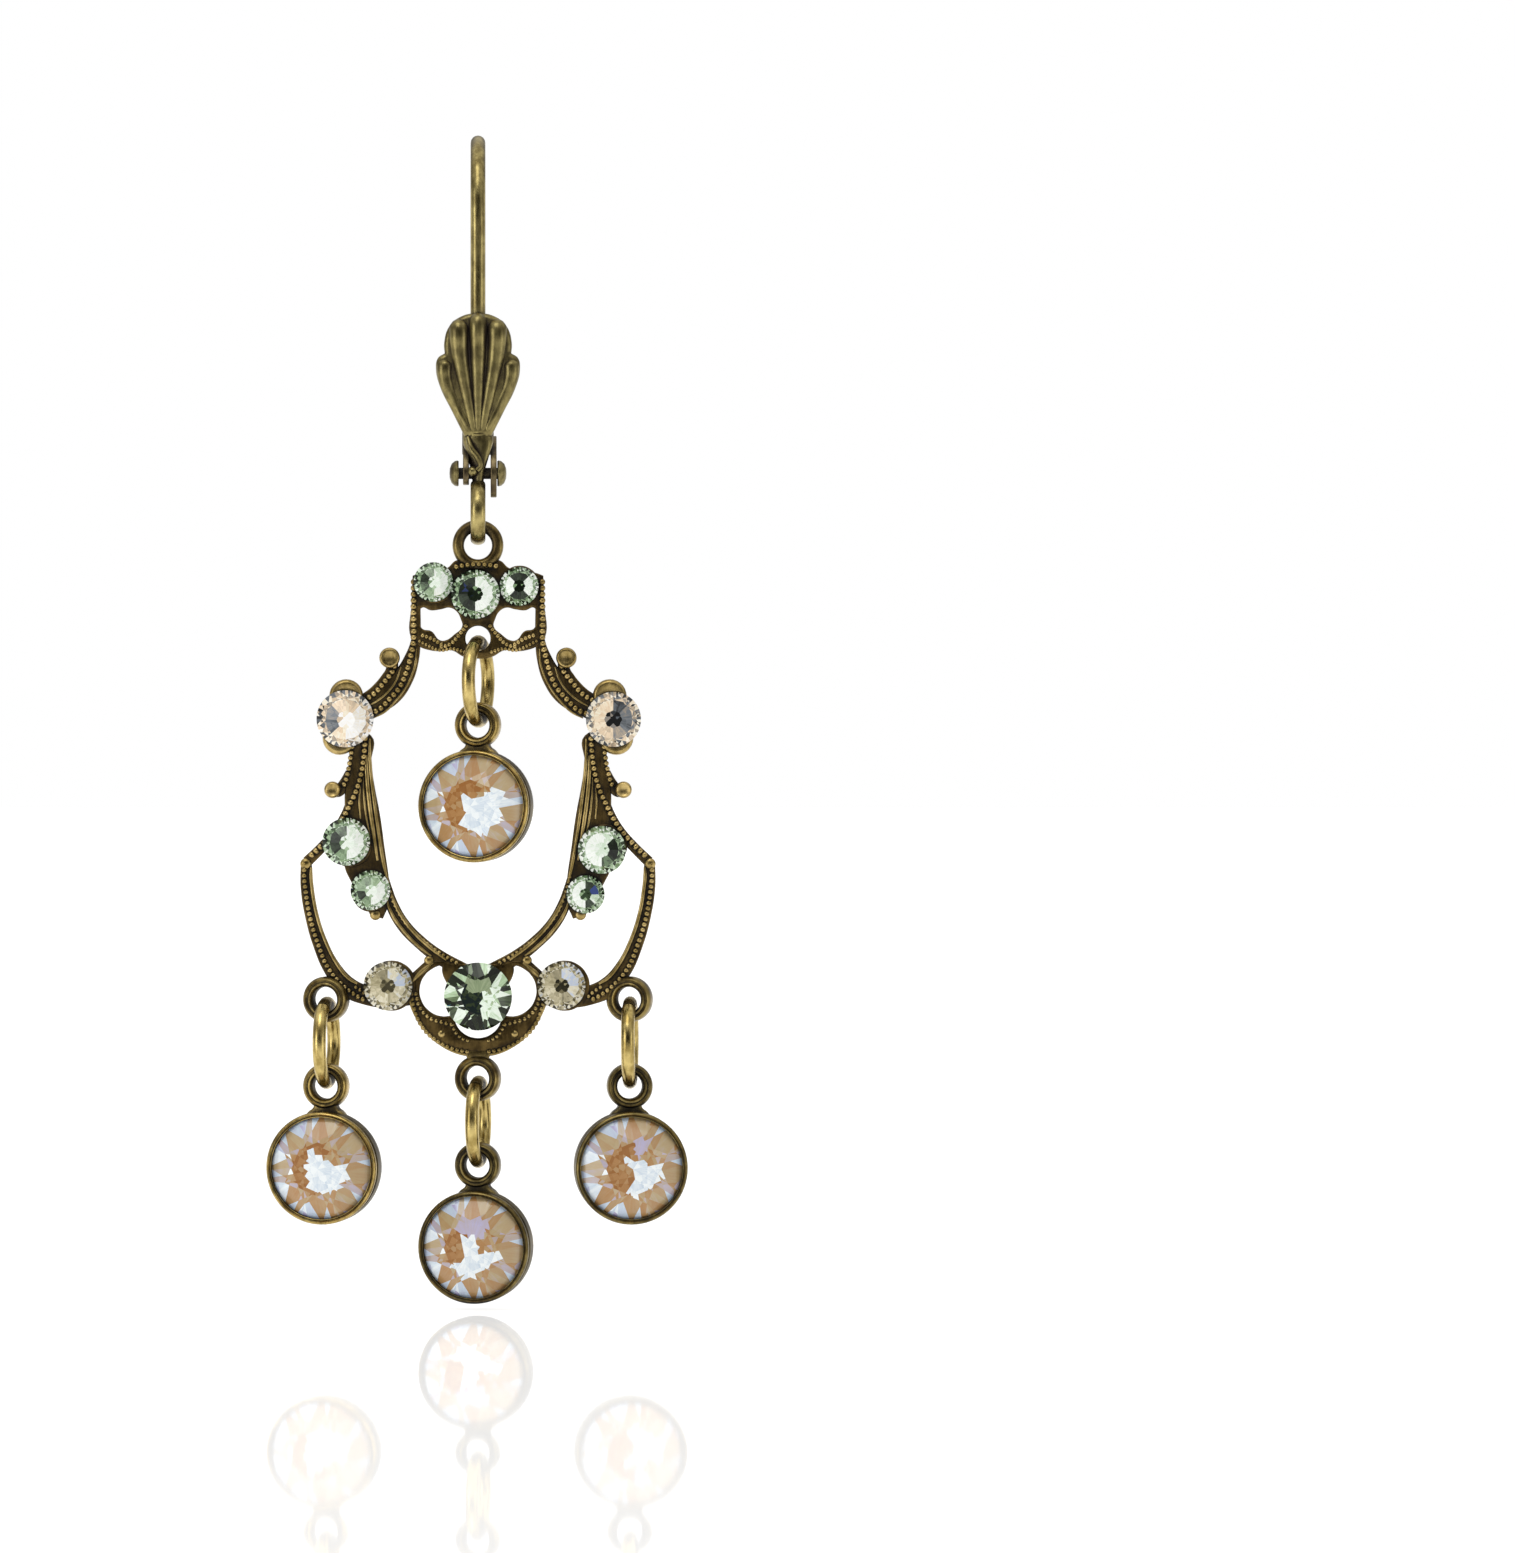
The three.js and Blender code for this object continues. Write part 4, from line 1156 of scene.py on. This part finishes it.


# ---------------------------------------------------------------------------------------------
# The settings: cast cups whose lip is rolled over the crystal's edge, each with a neck and a thick
# loop. Two have lip, neck and loop in a brighter gold brass, and two in a darker olive one.
# ---------------------------------------------------------------------------------------------
CUP_DROP = 4.85
CUP_PROFILE = (
    (0.0, 1.2), (2.1, 1.2), (2.7, 0.8), (3.14, 0.1), (3.14, -1.2), (3.3, -1.2), (3.33, -1.12),
    (3.28, -0.9), (3.36, -0.8), (3.38, -0.6), (3.34, -0.4), (3.37, -0.2), (3.36, 0.2),
    (3.28, 0.6), (3.0, 1.05), (2.55, 1.36), (2.2, 1.47), (1.2, 1.5), (0.0, 1.5),
)
LIP_PROFILE = (
    (3.14, -1.1), (3.09, -1.2), (3.045, -1.38), (3.06, -1.46), (3.1, -1.48), (3.13, -1.44),
    (3.17, -1.49), (3.24, -1.55), (3.3, -1.52), (3.37, -1.4), (3.38, -1.22), (3.34, -1.08),
)
NECK_EDGE = (
    (-0.72, -0.95, "c"), (-0.72, -1.25), (-1.05, -1.55), (-1.35, -1.95, "c"),
    (1.35, -1.95, "c"), (1.05, -1.55), (0.72, -1.25), (0.72, -0.95, "c"),
)
setting_gold = old_brass("setting_gold", "bda363", "83703e", "1c140a", crevice=0.8, rough=0.26)
setting_olive = old_brass("setting_olive", "857548", "544829", "17120a", crevice=0.9, rough=0.3)
setting_brasses = {"gold": setting_gold, "olive": setting_olive}
cup_brass = old_brass("cup_brass", "6c5f3b", "433923", "120d07", crevice=0.9, rough=0.38)
loop_centres = {}
for name, (link_turn, turn, brass) in DROPS.items():
    centre = link_centres[name] - Vector((0, 0, LINK_DROP * MM))
    loop_centres[name] = centre
    cup = moved(turned("cup", CUP_PROFILE, 72), (0, 0, -CUP_DROP * MM))
    lip = moved(turned("lip", LIP_PROFILE, 72), (0, 0, -CUP_DROP * MM))
    neck = moved(plate("neck", NECK_EDGE, 1.1, 0.2), (0, 0.05 * MM, 0))
    loop = turned("loop", LOOP_PROFILE, 56)
    rubbed = joined(f"lip_{name}", [lip, neck, loop])
    cup.name = f"cup_{name}"
    for piece, metal in ((cup, cup_brass), (rubbed, setting_brasses[brass])):
        moved(piece, turn=(0, 0, turn))
        moved(piece, centre)
        dress(smooth(piece, 40), "chandelier", metal, "cast_brass")
    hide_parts(f"setting_{name}")


# ---------------------------------------------------------------------------------------------
# The drop crystals: round brilliants with a peach lacquer behind the pavilion. Broad facets of the
# rim carry a painted lilac and pale blue sheen on their left, and a painted white reflection of the
# window lies across table and right.
# ---------------------------------------------------------------------------------------------
STONE_RADIUS = 3.06
GIRDLE_PLACE = -1.1
# The peach lacquer's own colour in the darker tones, then painted lilac, pale blue and white
# reflection.
PEACH_AND_REFLECTION_TONES = ("a36c38", "99683b", "b08454", "b8a37c", "bab5d8", "c6d6e6", "f6fcfe")
peach = crystal("peach_crystal", PEACH_AND_REFLECTION_TONES, streaks=0.1)

# Painted reflections on each drop: the window's white patch, as outlines across and up in shares of
# its radius.
WINDOW_REFLECTION = {
    "middle": (
        (-0.2, 0.2), (0.1, 0.16), (0.6, 0.38), (0.7, 0.1), (0.62, -0.3), (0.2, -0.56),
        (-0.3, -0.36), (-0.08, -0.2),
    ),
    "left": (
        (-0.1, 0.4), (0.2, 0.12), (0.7, 0.14), (0.56, -0.2), (0.3, -0.48), (-0.16, -0.44),
        (-0.24, 0.26),
    ),
    "foot": (
        (-0.18, 0.26), (0.08, 0.24), (0.2, -0.04), (0.76, -0.1), (0.3, -0.38), (0.0, -0.62),
        (-0.42, -0.36), (-0.12, -0.2),
    ),
    "right": (
        (-0.18, 0.22), (0.12, 0.2), (0.3, 0.06), (0.74, 0.14), (0.44, -0.28), (0.06, -0.56),
        (-0.14, -0.42), (0.06, -0.2),
    ),
}
# Painted reflections of the ceiling on two drops, as outlines in the same shares.
CEILING_REFLECTION = {
    "foot": ((-0.34, 0.4), (0.0, 0.6), (0.5, 0.5), (0.2, 0.2), (-0.1, 0.26)),
    "right": ((0.0, 0.24), (0.06, 0.56), (0.46, 0.62), (0.3, 0.4), (0.1, 0.22)),
}


def inside(x, z, outline):
    """Whether a place is inside an outline."""
    crossings = 0
    for (ax, az), (bx, bz) in zip(outline, outline[1:] + outline[:1]):
        if (az > z) != (bz > z) and x < ax + (z - az) * (bx - ax) / (bz - az):
            crossings += 1
    return crossings % 2 == 1


# Painted sheen on the rim facets, and steps that break up the tone from facet to facet.
PAINTED_RIM_SHEEN = (0.84, 0.74, 0.9, 0.86, 0.8, 0.94, 0.88)
PEACH_FLICKER = (0.0, 0.1, -0.08, 0.14, -0.04, 0.07, -0.12, 0.18, -0.1, 0.03, 0.22)


def lacquer_and_painted_reflections(name):
    """The rule for a drop's facets: peach lacquer, with painted reflections and painted sheen."""

    def rule(x, z, behind, index):
        out = math.hypot(x, z)
        turn = math.degrees(math.atan2(z, x)) % 360
        flicker = PEACH_FLICKER[index * 7 % len(PEACH_FLICKER)]
        if behind:
            return 0.4
        if inside(x, z, WINDOW_REFLECTION[name]):
            return 0.95 + flicker * 0.3
        if name in CEILING_REFLECTION and inside(x, z, CEILING_REFLECTION[name]):
            return 0.66
        # Painted light and shade on the table's middle: lighter on its right.
        if out < 0.52:
            return (0.36 if x > 0.15 else 0.16) + flicker
        # A painted glint down the left side.
        if abs(x + 0.55) < 0.05 and abs(z - 0.06) < 0.2 and index % 2:
            return 1.0
        painted_sheen = int((turn + 6) / 22.5) % 2
        if out > 0.72 and painted_sheen and 80 < turn < 285:
            return PAINTED_RIM_SHEEN[index % 7]
        # Painted glints on every fourth narrow rim facet.
        if out > 0.86 and int(turn / 11.25) % 4 == 0:
            return 0.86
        return 0.42 + flicker * 0.9

    return rule


for name, (link_turn, turn, brass) in DROPS.items():
    stone = copy_of(full_cut, f"stone_{name}", STONE_RADIUS)
    tone_by(stone, STONE_RADIUS, lacquer_and_painted_reflections(name))
    moved(stone, (0, GIRDLE_PLACE * MM, -CUP_DROP * MM))
    moved(stone, turn=(0, 0, turn))
    moved(stone, loop_centres[name])
    dress(stone, "chandelier", peach, "peach_crystal", f"crystal_{name}")
bpy.data.objects.remove(full_cut)

visual_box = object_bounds()
boxes = {"cad": cad_box, "visual": visual_box}
{key: [list(corner) for corner in box] for key, box in boxes.items()}
